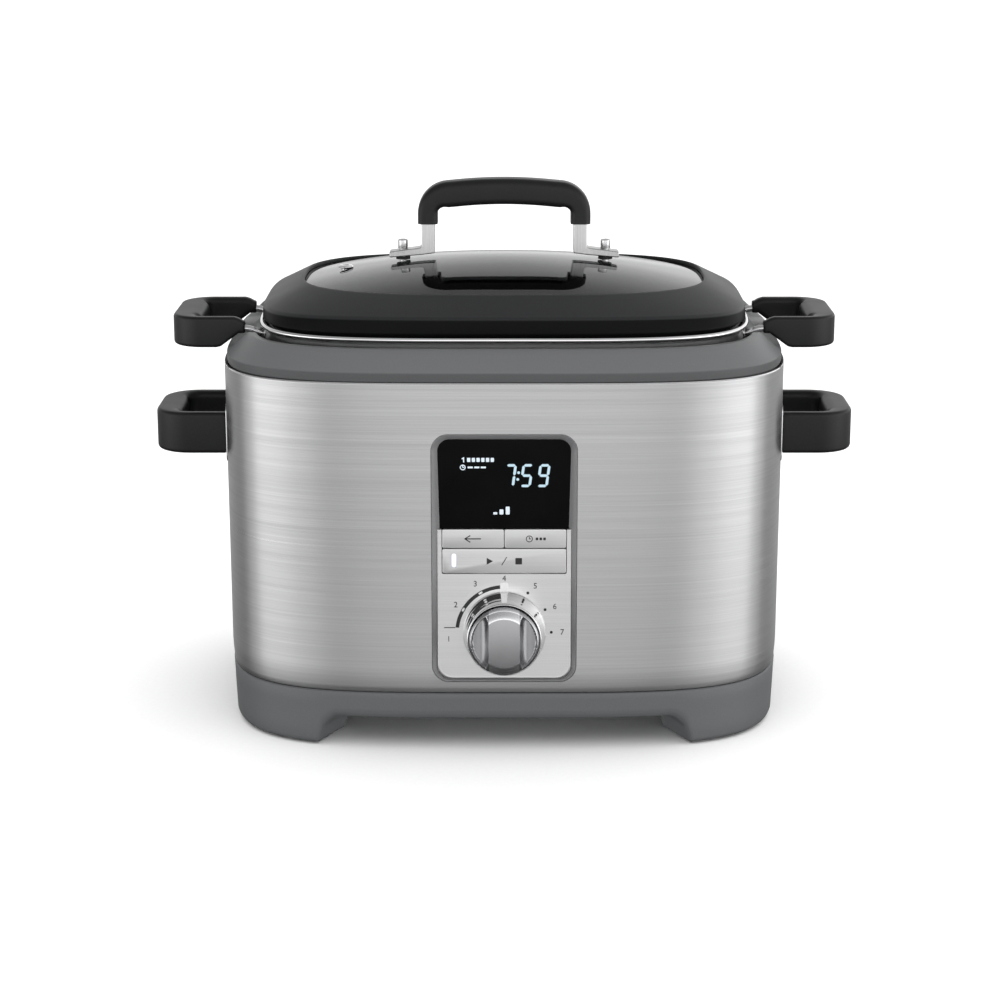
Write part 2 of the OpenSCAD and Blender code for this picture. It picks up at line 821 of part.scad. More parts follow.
module pot() {
    in_a = pot_a - pot_t;
    in_b = pot_b - pot_t;
    z0 = pot_bottom_z + 4;
    color([0.8, 0.81, 0.82]) at_body()
        loft([
            ring(118, 74, z0),
            ring(134, 90, z0 + 2),
            ring(146, 102, z0 + 9),
            ring(153, 109, z0 + 20),
            ring(156, 112, z0 + 34),
            ring(pot_a, pot_b, rim_z - 3.2),
            ring(pot_a + 2.6, pot_b + 2.6, rim_z - 2.4),
            ring(pot_a + 4, pot_b + 4, rim_z - 0.8),
            ring(pot_a + 4, pot_b + 4, rim_z + 0.8),
            ring(pot_a + 2.6, pot_b + 2.6, rim_z + 2.2),
            ring(pot_a + 0.8, pot_b + 0.8, rim_z + 2.2),
            ring(in_a, in_b, rim_z),
            ring(156 - pot_t, 112 - pot_t, z0 + 34),
            ring(153 - pot_t, 109 - pot_t, z0 + 21),
            ring(146 - pot_t, 102 - pot_t, z0 + 10.2),
            ring(134 - pot_t, 90 - pot_t, z0 + 3.4),
            ring(117, 73, z0 + 1.4)
        ], false);
}

module pot_base_disc() {
    color([0.7, 0.71, 0.72]) at_body()
        oval_slab(117, 73, pot_bottom_z, pot_bottom_z + 3.8);
}

// Two polished rods that carry one of the pot's grips, with their welded pads.
module pot_bracket(side) {
    pad_z = 264.8;
    bend_x = 178;
    bend_z = 268.6;
    wall_x = pot_a * 0.9975 + 0.1;
    color([0.86, 0.87, 0.88]) at_body() on_side(side)
        for (sy = [-1, 1]) {
            wire([
                [wall_x, sy * rod_y, pad_z], [170, sy * rod_y, pad_z + 1.2],
                [174, sy * rod_y, pad_z + 2.8], [bend_x, sy * rod_y, bend_z],
                [bend_x + 3, sy * rod_y, bend_z], [bend_x + 19, sy * rod_y, bend_z]
            ], rod_r, 16);
            translate([wall_x - 0.1, sy * rod_y - 3, pad_z - 5]) cube([1.2, 6, 10]);
        }
}

module pot_grip(side) {
    z0 = pot_handle_z;
    z1 = pot_handle_z + pot_handle_h;
    color([0.11, 0.11, 0.12]) at_body() on_side(side)
        difference() {
            bow(178.5, pot_handle_x, pot_handle_half, 8.6, 20, 22, 11, z0, z1);
            front_slab([[170, 250], [196.5, 250], [196.5, z0], [183, 265.4], [170, 265.4]],
                -60, 60);
            front_slab([[170, 290], [191, 290], [185, z1], [181.5, z1 - 0.8], [177, z1 - 3.2],
                [170, z1 - 3.2]], -60, 60);
            for (sy = [-1, 1])
                x_rod(sy * rod_y, 268.6, rod_r + 0.05, 170, 198);
        }
}

// ---- lid ----

module lid_frame() {
    color([0.13, 0.13, 0.14]) at_body()
        loft([
            ring(lid_a - 1, lid_b - 1, 278.4),
            ring(lid_a, lid_b, 279.4),
            sunk_ring(lid_a, lid_b, 288.4, 3.6, lid_sag),
            sunk_ring(lid_a - 1, lid_b - 1, 289.6, 3.6, lid_sag),
            sunk_ring(window_a + 1.2, window_b + 1.2, 301, window_power, 0),
            sunk_ring(window_a, window_b, 301.1, window_power, 0),
            sunk_ring(window_a, window_b, 298.8, window_power, 0),
            sunk_ring(window_a + 3, window_b + 3, 298.8, window_power, 0),
            sunk_ring(window_a + 3, window_b + 3, 293.5, window_power, 0),
            sunk_ring(window_a - 2, window_b - 2, 293.5, window_power, 0),
            sunk_ring(window_a - 2, window_b - 2, 292.1, window_power, 0),
            ring(lid_a - 8.2, lid_b - 8.2, 283),
            ring(lid_a - 8.2, lid_b - 8.2, 270),
            ring(lid_a - 4.8, lid_b - 4.8, 270),
            ring(lid_a - 4.8, lid_b - 4.8, 278.4)
        ], true);
}

function dome_z(f) = glass_edge_z + dome_rise * (1 - f * f);

function glass_ring(f, drop) =
    sunk_ring((window_a + 2.7) * f, (window_b + 2.7) * f, dome_z(f) - drop, window_power, 0);

module lid_glass() {
    color([0.35, 0.37, 0.38, 0.6]) at_body()
        difference() {
            loft([
                for (f = [0.15, 0.4, 0.6, 0.8, 1]) glass_ring(f, glass_t),
                for (f = [1, 0.8, 0.6, 0.4, 0.15]) glass_ring(f, 0)
            ], false);
            for (side = [-1, 1])
                z_rod(side * bolt_x, 0, 3.2, 290, 320);
            z_rod(vent_x, 0, 3.4, 285, 320);
        }
}

module lid_seal() {
    color([0.55, 0.55, 0.56]) at_body() {
        oval_wall(lid_a - 3.5, lid_b - 3.5, 1.2, 271.5, 275.5);
    }
}

module vent_grommet() {
    top = 305.8;
    color([0.82, 0.83, 0.84]) at_body()
        difference() {
            union() {
                z_rod(vent_x, 0, 5.4, top - 1, top + 0.6);
                z_rod(vent_x, 0, 3.3, top - 8.5, top);
                z_rod(vent_x, 0, 5, top - 8.6, top - 7.2);
            }
            z_rod(vent_x, 0, 1.6, top - 12, top + 4);
        }
}

module lid_bracket(side) {
    color([0.72, 0.73, 0.74]) at_body() on_side(side)
        difference() {
            front_slab([
                [bracket_in_x, 343], [bracket_in_x, 315.4], [bracket_out_x, 314.2],
                [80.3, 312.2], [80.3, 316.4], [62, 318.8], [59, 319.6], [bracket_out_x, 321.4],
                [bracket_out_x, 343]
            ], -bracket_half, bracket_half);
            z_rod(bolt_x, 0, 2.6, 300, 330);
        }
}

module lid_grip() {
    crown = 2.2;
    x_in = grip_half - 13.8;
    low = 336;
    under = 349.7;
    color([0.11, 0.11, 0.12]) at_body()
        difference() {
            front_slab(concat(
                [[grip_half, low]],
                arc(grip_half - 22, grip_top_z - crown - 22, 22, 0, 84),
                [[20, grip_top_z - 0.5], [0, grip_top_z], [-20, grip_top_z - 0.5]],
                arc(-grip_half + 22, grip_top_z - crown - 22, 22, 96, 180),
                [[-grip_half, low], [-x_in, low]],
                arc(-x_in + 9, under - 1.2 - 9, 9, 180, 96),
                [[-16, under - 0.2], [0, under], [16, under - 0.2]],
                arc(x_in - 9, under - 1.2 - 9, 9, 84, 0),
                [[x_in, low]]
            ), -grip_half_y, grip_half_y);
            for (side = [-1, 1])
                on_side(side)
                    translate([bracket_in_x - 0.1, -bracket_half - 0.1, low - 1])
                        cube([bracket_out_x - bracket_in_x + 0.2, 2 * bracket_half + 0.2, 8.1]);
        }
}

module lid_bolts() {
    head_z = 318.5;
    color([0.75, 0.76, 0.77]) at_body()
        for (side = [-1, 1])
            difference() {
                union() {
                    z_rod(side * bolt_x, 0, 2.5, 299, head_z + 1);
                    z_rod(side * bolt_x, 0, 3.4, head_z, head_z + 6);
                }
                translate([side * bolt_x, 0, head_z + 3]) cylinder(r = 1.9, h = 5, $fn = 6);
            }
}

module lid_washers() {
    color([0.08, 0.08, 0.08]) at_body()
        for (side = [-1, 1])
            difference() {
                union() {
                    z_rod(side * bolt_x, 0, 5, 310.7, 312.5);
                    z_rod(side * bolt_x, 0, 5, 304, 305.2);
                }
                z_rod(side * bolt_x, 0, 2.6, 302, 315);
            }
}

module lid_nuts() {
    color([0.75, 0.76, 0.77]) at_body()
        for (side = [-1, 1])
            difference() {
                translate([side * bolt_x, 0, 300]) cylinder(r = 5, h = 3.9, $fn = 6);
                z_rod(side * bolt_x, 0, 2.55, 299, 306);
            }
}

base_pan();
rubber_feet();
bottom_cover();
cover_screws();
steel_wrap();
shoulder_ring();
heating_well();
band_heater();
insulation_blanket();
heating_plate();
heating_element();
thermal_fuse();
sensor_bracket();
sensor_spring();
sensor_plunger();
heat_shield();
well_supports();
power_board();
control_board();
tact_switches();
lcd_module();
rotary_switch();
wiring_harness();
cord_gland();
panel_bezel();
panel_plate();
dial_markings();
display_glass();
back_button();
timer_button();
start_button();
start_light();
knob_shaft();
knob_skirt();
knob_cap();
handle_plate(-1);  // handle_plate_left
handle_plate(1);  // handle_plate_right
body_handle(-1);  // body_handle_left
body_handle(1);  // body_handle_right
handle_screws();
pot();
pot_base_disc();
pot_bracket(-1);  // pot_bracket_left
pot_bracket(1);  // pot_bracket_right
pot_grip(-1);  // pot_grip_left
pot_grip(1);  // pot_grip_right
lid_frame();
lid_glass();
lid_seal();
vent_grommet();
lid_bracket(-1);  // lid_bracket_left
lid_bracket(1);  // lid_bracket_right
lid_grip();
lid_bolts();
lid_washers();
lid_nuts();
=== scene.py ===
import math

import bmesh
import bpy
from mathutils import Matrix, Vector


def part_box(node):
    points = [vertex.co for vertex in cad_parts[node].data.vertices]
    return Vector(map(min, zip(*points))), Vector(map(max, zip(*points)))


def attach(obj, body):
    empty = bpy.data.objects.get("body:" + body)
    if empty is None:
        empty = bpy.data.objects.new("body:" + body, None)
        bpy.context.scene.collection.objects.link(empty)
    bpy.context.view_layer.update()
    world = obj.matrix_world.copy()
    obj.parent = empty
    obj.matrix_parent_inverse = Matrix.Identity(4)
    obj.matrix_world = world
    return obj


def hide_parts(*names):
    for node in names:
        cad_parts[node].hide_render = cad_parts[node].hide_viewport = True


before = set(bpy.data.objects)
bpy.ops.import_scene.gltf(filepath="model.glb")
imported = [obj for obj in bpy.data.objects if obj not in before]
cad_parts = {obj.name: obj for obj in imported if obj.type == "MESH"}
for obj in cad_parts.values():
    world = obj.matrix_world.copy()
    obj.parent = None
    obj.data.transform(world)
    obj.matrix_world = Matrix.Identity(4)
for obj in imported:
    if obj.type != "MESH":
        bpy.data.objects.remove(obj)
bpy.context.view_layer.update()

# Lengths below are millimetres about the body's own middle: +X right, +Y to the back, +Z up.
MM = 0.001
WRAP_LOW, WRAP_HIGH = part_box("steel_wrap")
MIDDLE_Y = (WRAP_LOW.y + WRAP_HIGH.y) / 2


def span(node):
    """Low and high corners of a CAD node, in millimetres about the body's middle."""
    low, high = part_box(node)
    shift = Vector((0, MIDDLE_Y, 0))
    return (low - shift) / MM, (high - shift) / MM


# ---------------------------------------------------------------- outlines and meshes

OVAL_STEPS = 320


def oval(a, b, power=4.0, steps=OVAL_STEPS):
    """A superellipse in plan: 2 is an ellipse, and a higher power is squarer."""
    points = []
    for i in range(steps):
        c, s = math.cos(2 * math.pi * i / steps), math.sin(2 * math.pi * i / steps)
        points.append((a * math.copysign(abs(c) ** (2 / power), c),
                       b * math.copysign(abs(s) ** (2 / power), s)))
    return points


def oval_ring(a, b, z, power=4.0, steps=OVAL_STEPS):
    return [(x, y, z) for x, y in oval(a, b, power, steps)]


def circle(r, steps, cx=0.0, cy=0.0):
    angles = [2 * math.pi * k / steps for k in range(steps)]
    return [(cx + r * math.cos(t), cy + r * math.sin(t)) for t in angles]


def smooth(f):
    """An eased step from 0 to 1, held at both ends."""
    f = max(0, min(1, f))
    return f * f * (3 - 2 * f)


def fillet(points, radii, closed=True, steps=4):
    """Rounds the corners of a chain of points of any size, with a curve that starts that far away."""
    out = []
    count = len(points)
    for i, p in enumerate(points):
        p = Vector(p)
        r = radii[i] if isinstance(radii, (list, tuple)) else radii
        if r <= 0 or (not closed and i in (0, count - 1)):
            out.append(p)
            continue
        before = Vector(points[i - 1]) - p
        after = Vector(points[(i + 1) % count]) - p
        start = p + before * min(r / before.length, 0.49)
        end = p + after * min(r / after.length, 0.49)
        for k in range(steps + 1):
            t = k / steps
            out.append((1 - t) ** 2 * start + 2 * t * (1 - t) * p + t * t * end)
    return out


def mesh_of(name, verts, faces):
    """A closed mesh in the frame's metres, from points in millimetres about the body's middle."""
    mesh = bpy.data.meshes.new(name)
    mesh.from_pydata([(x * MM, y * MM + MIDDLE_Y, z * MM) for x, y, z in verts], [], faces)
    mesh.validate()
    bm = bmesh.new()
    bm.from_mesh(mesh)
    bmesh.ops.remove_doubles(bm, verts=bm.verts, dist=1e-6)
    bmesh.ops.recalc_face_normals(bm, faces=bm.faces)
    bm.to_mesh(mesh)
    bm.free()
    return mesh


def add_object(name, data):
    obj = bpy.data.objects.new(name, data)
    bpy.context.scene.collection.objects.link(obj)
    return obj


def make(name, verts, faces, body, nodes, mat, slot, sharp=35):
    """A piece that rides on a body and stands for the CAD nodes named."""
    obj = add_object(name, mesh_of(name, verts, faces))
    soften(obj, sharp)
    obj.data.materials.append(mat)
    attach(obj, body)
    if nodes:
        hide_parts(*nodes)
    return obj


def soften(obj, angle):
    for face in obj.data.polygons:
        face.use_smooth = True
    obj.data.set_sharp_from_angle(angle=math.radians(angle))


def loft(rings, loop=False, caps=True):
    """Vertices and faces that join rings of the same number of points."""
    n, m = len(rings[0]), len(rings)
    verts = [tuple(p) for ring in rings for p in ring]
    faces = []
    for r in range(m if loop else m - 1):
        s = (r + 1) % m
        for i in range(n):
            j = (i + 1) % n
            faces.append((r * n + i, r * n + j, s * n + j, s * n + i))
    if not loop and caps:
        faces.append(tuple(range(n)))
        faces.append(tuple((m - 1) * n + i for i in range(n)))
    return verts, faces


def join(*parts):
    verts, faces = [], []
    for v, f in parts:
        base = len(verts)
        verts += list(v)
        faces += [tuple(i + base for i in face) for face in f]
    return verts, faces


def mirrored(part):
    return [(-x, y, z) for x, y, z in part[0]], part[1]


def round_rect(x0, x1, z0, z1, radius, steps=8):
    """Outline of a rectangle with round corners; radius is one number or (low, high)."""
    low, high = radius if isinstance(radius, tuple) else (radius, radius)
    points = []
    for cx, cz, r, start in (
        (x1 - low, z0 + low, low, -90), (x1 - high, z1 - high, high, 0),
        (x0 + high, z1 - high, high, 90), (x0 + low, z0 + low, low, 180),
    ):
        for k in range(steps + 1):
            t = math.radians(start + 90 * k / steps)
            points.append((cx + r * math.cos(t), cz + r * math.sin(t)))
    return points


def turned(profile, steps, loop=False):
    """Turns (radius, height) points about a line; gives points as (u, v, height)."""
    return loft([[(u, v, h) for u, v in circle(r, steps)] for r, h in profile], loop=loop)


def evaluated_mesh(obj):
    bpy.context.view_layer.update()
    return bpy.data.meshes.new_from_object(
        obj.evaluated_get(bpy.context.evaluated_depsgraph_get()))


def cut(obj, cutter_part):
    """Takes a closed solid, given in the same millimetres, out of a piece."""
    cutter = add_object("cutter", mesh_of("cutter", *cutter_part))
    mod = obj.modifiers.new("cut", "BOOLEAN")
    mod.object = cutter
    mod.operation = "DIFFERENCE"
    mod.solver = "EXACT"
    result = evaluated_mesh(obj)
    obj.modifiers.remove(mod)
    obj.data = result
    bpy.data.objects.remove(cutter)


def even_normals(obj):
    normal = obj.modifiers.new("normals", "WEIGHTED_NORMAL")
    normal.keep_sharp = True


def bevel(obj, width, segments=3, angle=40):
    mod = obj.modifiers.new("bevel", "BEVEL")
    mod.width = width * MM
    mod.segments = segments
    mod.limit_method = "ANGLE"
    mod.angle_limit = math.radians(angle)
    even_normals(obj)


def extruded(outline, y0, y1):
    """A slab whose outline is drawn in X and Z, between two depths."""
    return loft([[(x, y0, z) for x, z in outline], [(x, y1, z) for x, z in outline]])


# ---------------------------------------------------------------- materials

def add_node(tree, kind, inputs=(), **settings):
    """A new shader node; inputs are its sockets' values, or the outputs that feed them."""
    node = tree.nodes.new("ShaderNode" + kind)
    for name, value in settings.items():
        setattr(node, name, value)
    for socket, value in dict(inputs).items():
        if isinstance(value, bpy.types.NodeSocket):
            tree.links.new(value, node.inputs[socket])
        else:
            node.inputs[socket].default_value = value
    return node


def math_node(tree, operation, *values):
    return add_node(tree, "Math", enumerate(values), operation=operation).outputs[0]


def map_range(tree, value, start, end, low, high):
    """Carries a value from one range into another, and holds it at both ends."""
    return add_node(tree, "MapRange", {"Value": value, "From Min": start, "From Max": end,
                                       "To Min": low, "To Max": high}).outputs["Result"]


def split_coords(tree, kind):
    coords = add_node(tree, "TexCoord")
    return add_node(tree, "SeparateXYZ", {0: coords.outputs[kind]}).outputs


def colour_ramp(tree, value, stops, easing="LINEAR"):
    """Colours over a value from 0 to 1; stops are (position, colour), the lowest and highest first."""
    ramp = add_node(tree, "ValToRGB", {"Fac": value})
    ramp.color_ramp.interpolation = easing
    elements = ramp.color_ramp.elements
    for k, (position, colour) in enumerate(stops):
        stop = elements[k] if k < 2 else elements.new(position)
        stop.position = position
        stop.color = (*colour, 1)
    return ramp.outputs["Color"]


def shader_input(mat, name):
    return mat.node_tree.nodes["Principled BSDF"].inputs[name]


def feed(mat, name, output):
    mat.node_tree.links.new(output, shader_input(mat, name))


def new_material(name, colour, metallic=0.0, roughness=0.5, **sockets):
    mat = bpy.data.materials.new(name)
    mat.use_nodes = True
    shader_input(mat, "Base Color").default_value = (*colour, 1)
    for key, value in {"Metallic": metallic, "Roughness": roughness, **sockets}.items():
        shader_input(mat, key.replace("_", " ")).default_value = value
    return mat


def texture(mat, stretch, detail, rough):
    """A noise over the object's own coordinates; stretch is cycles per metre, all round or per axis."""
    tree = mat.node_tree
    if not isinstance(stretch, tuple):
        stretch = (stretch, stretch, stretch)
    coords = add_node(tree, "TexCoord")
    mapping = add_node(tree, "Mapping", {"Vector": coords.outputs["Object"], "Scale": stretch})
    return add_node(tree, "TexNoise", {"Vector": mapping.outputs["Vector"], "Scale": 1.0,
                                       "Detail": detail, "Roughness": rough}).outputs[0]


def vary_colour(mat, noise, dark, light, low=0.3, high=0.7):
    feed(mat, "Base Color", colour_ramp(mat.node_tree, noise, ((low, dark), (high, light))))


def vary_roughness(mat, noise, low, high):
    feed(mat, "Roughness", map_range(mat.node_tree, noise, 0.25, 0.75, low, high))


def add_bump(mat, noise, strength, height):
    bump = add_node(mat.node_tree, "Bump", {"Height": noise, "Strength": strength,
                                            "Distance": height * MM})
    feed(mat, "Normal", bump.outputs["Normal"])


def add_tangent(mat):
    """Lets the highlight of a brushed metal spread across the brush lines, which run round Z."""
    tangent = add_node(mat.node_tree, "Tangent", direction_type="RADIAL", axis="Z")
    feed(mat, "Tangent", tangent.outputs["Tangent"])


def brushed(name, dark, light, stretch, roughness=(0.25, 0.4), turn=0.25, aniso=0.7, bump=0.12):
    mat = new_material(name, light, 1.0, 0.3, Anisotropic=aniso, Anisotropic_Rotation=turn)
    fine = texture(mat, stretch, 6, 0.75)
    broad = texture(mat, tuple(s * 0.16 for s in stretch), 3, 0.6)
    vary_colour(mat, fine, dark, light, 0.25, 0.75)
    vary_roughness(mat, broad, *roughness)
    add_bump(mat, fine, bump, 0.02)
    add_tangent(mat)
    return mat


def moulded(name, dark, light, roughness=(0.4, 0.55), grain=1400, bump=0.25, **sockets):
    """Fine-grained moulded plastic or powder coat."""
    mat = new_material(name, light, 0.0, roughness[0], **sockets)
    fine = texture(mat, grain, 2, 0.5)
    broad = texture(mat, 14, 4, 0.6)
    vary_colour(mat, fine, dark, light)
    vary_roughness(mat, broad, *roughness)
    add_bump(mat, fine, bump, 0.05)
    return mat


def scale_colour(mat, factor):
    """Multiplies a finish's colour by a factor that varies over the piece."""
    colour = shader_input(mat, "Base Color").links[0].from_socket
    scale = add_node(mat.node_tree, "VectorMath", operation="SCALE")
    mat.node_tree.links.new(colour, scale.inputs["Vector"])
    mat.node_tree.links.new(factor, scale.inputs["Scale"])
    feed(mat, "Base Color", scale.outputs["Vector"])


# painted shade: the colour and gloss are scaled down below a height, standing in for shade on upright
# faces
def painted_shade_below(mat, height, factor, blend=0.5, sag=0.0, half=1.0):
    """Painted shade under an edge of the piece: darker colour and less gloss below a height, which
    sinks by sag where X is half a length.
    """
    tree = mat.node_tree
    x, _, z = split_coords(tree, "Object")
    along = math_node(tree, "MULTIPLY", x, 1 / (half * MM))
    square = math_node(tree, "MULTIPLY", along, along)
    fourth = math_node(tree, "MULTIPLY", square, square)
    level = math_node(tree, "MULTIPLY_ADD", fourth, sag * MM, z)
    shade = map_range(tree, level, (height - blend) * MM, (height + blend) * MM, factor, 1)
    scale_colour(mat, shade)
    gloss = shader_input(mat, "Specular IOR Level").default_value
    feed(mat, "Specular IOR Level", math_node(tree, "MULTIPLY", shade, gloss))


def painted_bar_highlight(mat, radius, half, factor, blend=0.25):
    """Painted highlight on the dial's grip bar: colour brightened beyond a radius and within half its
    width.
    """
    tree = mat.node_tree
    x, _, z = split_coords(tree, "Object")
    rise = math_node(tree, "SUBTRACT", z, DIAL_Z * MM)
    square = math_node(tree, "MULTIPLY_ADD", x, x, math_node(tree, "MULTIPLY", rise, rise))
    within = math_node(tree, "LESS_THAN", math_node(tree, "ABSOLUTE", x), half * MM)
    brightest = math_node(tree, "MULTIPLY_ADD", within, factor - 1, 1)
    scale_colour(mat, map_range(tree, math_node(tree, "SQRT", square), (radius - blend) * MM,
                                (radius + blend) * MM, 1, brightest))


def polished(name, colour, roughness=(0.05, 0.12)):
    mat = new_material(name, colour, 1.0, roughness[0])
    haze = texture(mat, 60, 5, 0.65)
    scratch = texture(mat, (300, 300, 2400), 4, 0.7)
    vary_roughness(mat, haze, *roughness)
    vary_colour(mat, haze, tuple(c * 0.93 for c in colour), colour)
    add_bump(mat, scratch, 0.03, 0.01)
    return mat


# the tops of the upright faces of the shoulder ring and the lid frame, whose edge sags to its ends;
# below them the faces get painted shade
RING_WALL_Z = 257.9
LID_WALL_Z = 288.4
LID_SAG = 3.5

STEEL = brushed("steel_brushed", (0.44, 0.44, 0.445), (0.58, 0.58, 0.585), (5, 5, 1500), (0.26, 0.38))
STEEL_EDGE = polished("steel_edge", (0.86, 0.86, 0.87), (0.12, 0.2))
RING = moulded("ring_graphite", (0.166, 0.17, 0.174), (0.186, 0.19, 0.194), (0.36, 0.46), 1800, 0.18)
# painted shade: the ring's upright face below its top edge is darkened
painted_shade_below(RING, RING_WALL_Z, 0.55)
BASE = moulded("base_grey", (0.114, 0.118, 0.122), (0.132, 0.136, 0.14), (0.42, 0.52), 1500, 0.2)
BLACK = moulded("handle_black", (0.008, 0.008, 0.009), (0.013, 0.013, 0.014), (0.34, 0.44), 1700, 0.18,
                Specular_IOR_Level=0.25)
LID_BLACK = moulded("lid_black", (0.018, 0.019, 0.02), (0.026, 0.027, 0.028), (0.38, 0.48), 1600, 0.18,
                    Specular_IOR_Level=0.28)
# painted shade: the lid frame's upright skirt below its sagging top edge is darkened
painted_shade_below(LID_BLACK, LID_WALL_Z, 0.22, 0.45, LID_SAG, span("lid_frame")[1].x)
RUBBER = moulded("rubber_black", (0.01, 0.01, 0.01), (0.02, 0.02, 0.02), (0.6, 0.75), 900, 0.3)
CHROME = polished("chrome", (0.83, 0.83, 0.84), (0.03, 0.08))
BRIGHT = polished("bright_steel", (0.56, 0.56, 0.57), (0.14, 0.24))
POT_STEEL = brushed("pot_steel", (0.5, 0.5, 0.5), (0.57, 0.57, 0.57), (6, 6, 1300), (0.26, 0.32),
                    0.25, 0.2, 0.01)
POT_RIM = polished("pot_rim", (0.8, 0.8, 0.81), (0.07, 0.14))
BRACKET = brushed("bracket_steel", (0.42, 0.42, 0.42), (0.56, 0.56, 0.56), (1400, 1400, 30),
                  (0.24, 0.36), 0.0, 0.4, 0.1)
PANEL = brushed("panel_silver", (0.62, 0.62, 0.62), (0.72, 0.72, 0.72), (8, 8, 1700), (0.3, 0.4),
                0.25, 0.5, 0.05)
BEZEL = moulded("bezel_grey", (0.2, 0.2, 0.205), (0.23, 0.23, 0.235), (0.34, 0.42), 1500, 0.05)
CAP = polished("cap_satin", (0.4, 0.4, 0.41), (0.24, 0.27))
SCREW = polished("screw_steel", (0.6, 0.6, 0.61), (0.15, 0.28))
INK = moulded("printed_ink", (0.01, 0.01, 0.01), (0.016, 0.016, 0.016), (0.45, 0.55), 2500, 0.05)


def make_glass():
    mat = new_material("lid_glass", (0.1, 0.105, 0.11), 0.0, 0.02, IOR=1.5, Transmission_Weight=1.0)
    haze = texture(mat, 9, 3, 0.5)
    vary_roughness(mat, haze, 0.012, 0.02)
    vary_colour(mat, haze, (0.09, 0.095, 0.1), (0.11, 0.115, 0.12))
    return mat


def make_display():
    mat = new_material("display_black", (0.002, 0.002, 0.0022), 0.0, 0.1,
                       Specular_IOR_Level=0.06)
    haze = texture(mat, 40, 4, 0.6)
    vary_colour(mat, haze, (0.0015, 0.0015, 0.0017), (0.003, 0.003, 0.0033))
    vary_roughness(mat, haze, 0.07, 0.13)
    return mat


def make_glow(name, colour, strength):
    mat = new_material(name, colour, 0.0, 0.4, Emission_Color=(*colour, 1),
                       Emission_Strength=strength)
    vary_colour(mat, texture(mat, 900, 2, 0.5), tuple(c * 0.94 for c in colour), colour)
    return mat


GLASS = make_glass()
DISPLAY = make_display()
DIGIT_GLOW = make_glow("digit_glow", (0.42, 0.56, 0.64), 0.55)
WORD_GLOW = make_glow("symbol_glow", (0.6, 0.68, 0.74), 0.5)
LIGHT_GLOW = make_glow("indicator_glow", (0.9, 0.93, 1.0), 0.5)

# ---------------------------------------------------------------- body shell

BODY_A, BODY_B, WRAP_Z1 = span("steel_wrap")[1]
WRAP_Z0 = span("steel_wrap")[0].z
FRONT = -BODY_B
PANEL_LOW, PANEL_HIGH = span("panel_bezel")
OPENING = (PANEL_LOW.x - 0.2, PANEL_HIGH.x + 0.2, PANEL_LOW.z - 0.2, PANEL_HIGH.z + 0.2)
OPENING_R = 11.5


def wrap_ring(z, inset):
    """The body's outline at a height: a little deeper and squarer at the top than at the bottom."""
    up = (z - WRAP_Z0) / (WRAP_Z1 - WRAP_Z0)
    power = 3.9 + 0.3 * up
    depth = BODY_B + 0.4 - 0.9 * up
    return oval_ring(BODY_A - inset, depth - inset, z, power)


def steel_shell():
    curl = [(1.5, 0.0), (0.95, 1.2), (0.6, 4.0), (0.25, 8.5), (0.05, 13.0), (0.0, 18.0)]
    rings = [wrap_ring(WRAP_Z0 + up, inset) for inset, up in curl]
    rings += [wrap_ring(WRAP_Z0 + (WRAP_Z1 - WRAP_Z0) * k / 12, 0) for k in range(2, 12)]
    rings += [wrap_ring(WRAP_Z1 - drop, inset) for inset, drop in
              ((0, 1.4), (0.06, 0.8), (0.25, 0.35), (0.55, 0.1), (0.9, 0))]
    rings += [wrap_ring(WRAP_Z1 - 1, 1.6), wrap_ring(WRAP_Z0 + 1, 2.2)]
    piece = make("steel_shell", *loft(rings, loop=True), "housing", ["steel_wrap"], STEEL,
                 "brushed_steel")
    cut(piece, extruded(round_rect(*OPENING, OPENING_R, 12), FRONT - 6, FRONT + 12))
    soften(piece, 30)
    even_normals(piece)
    lip = [wrap_ring(WRAP_Z1 - drop, inset) for inset, drop in
           ((0.3, 1.0), (0.02, 0.55), (0.3, 0.05), (0.9, -0.12), (1.5, 0.2), (1.4, 1.2))]
    make("steel_top_edge", *loft(lip, loop=True), "housing", [], STEEL_EDGE, "polished_steel")


SADDLE_DEPTH = 8.5
SADDLE_HALF = 52
SADDLE_EASE = 16
CREST_Z = span("shoulder_ring")[1].z


def dip(x, y):
    """How far the ring's crest dips beside the pot's handles."""
    if abs(x) < BODY_A / 2:
        return 0
    return SADDLE_DEPTH * (1 - smooth((abs(y) - SADDLE_HALF) / SADDLE_EASE))


def shoulder_ring():
    low = WRAP_Z1
    well_a, well_b = 170.8, 124.8
    profile = [
        (BODY_A - 2.4, BODY_B - 2.6, low - 4, 0), (BODY_A - 2.4, BODY_B - 2.6, low + 0.1, 0),
        (BODY_A - 1.6, BODY_B - 2.0, low + 0.3, 0), (BODY_A - 1.5, BODY_B - 1.9, low + 6.2, 0),
        (well_a + 7.6, well_b + 7.8, CREST_Z - 1.5, 1), (well_a + 5.4, well_b + 5.4, CREST_Z, 1),
        (well_a + 1, well_b + 1, CREST_Z - 0.3, 1), (well_a, well_b, CREST_Z - 1.6, 1),
        (well_a, well_b, 253.4, 0), (well_a + 2.4, well_b + 2.4, 253.2, 0),
        (well_a + 4.2, well_b + 4.2, CREST_Z - 5, 1), (BODY_A - 5, BODY_B - 5, 254.6, 0),
        (BODY_A - 5, BODY_B - 5, low - 4, 0),
    ]
    radii = [0, 0.3, 0.5, 1.0, 3.2, 1.2, 0.8, 0.8, 0, 0, 0, 0, 0]
    rings = [[(x, y, z - dips * dip(x, y)) for x, y in oval(a, b, 4.1)]
             for a, b, z, dips in fillet(profile, radii)]
    make("ring_shell", *loft(rings, loop=True), "housing", ["shoulder_ring"], RING, "ring_coating",
         25)


ARCH_H = 21
ARCH_X = 132
ARCH_Y = 74
FOOT_BAR = 34
FOOT_GAP = 1


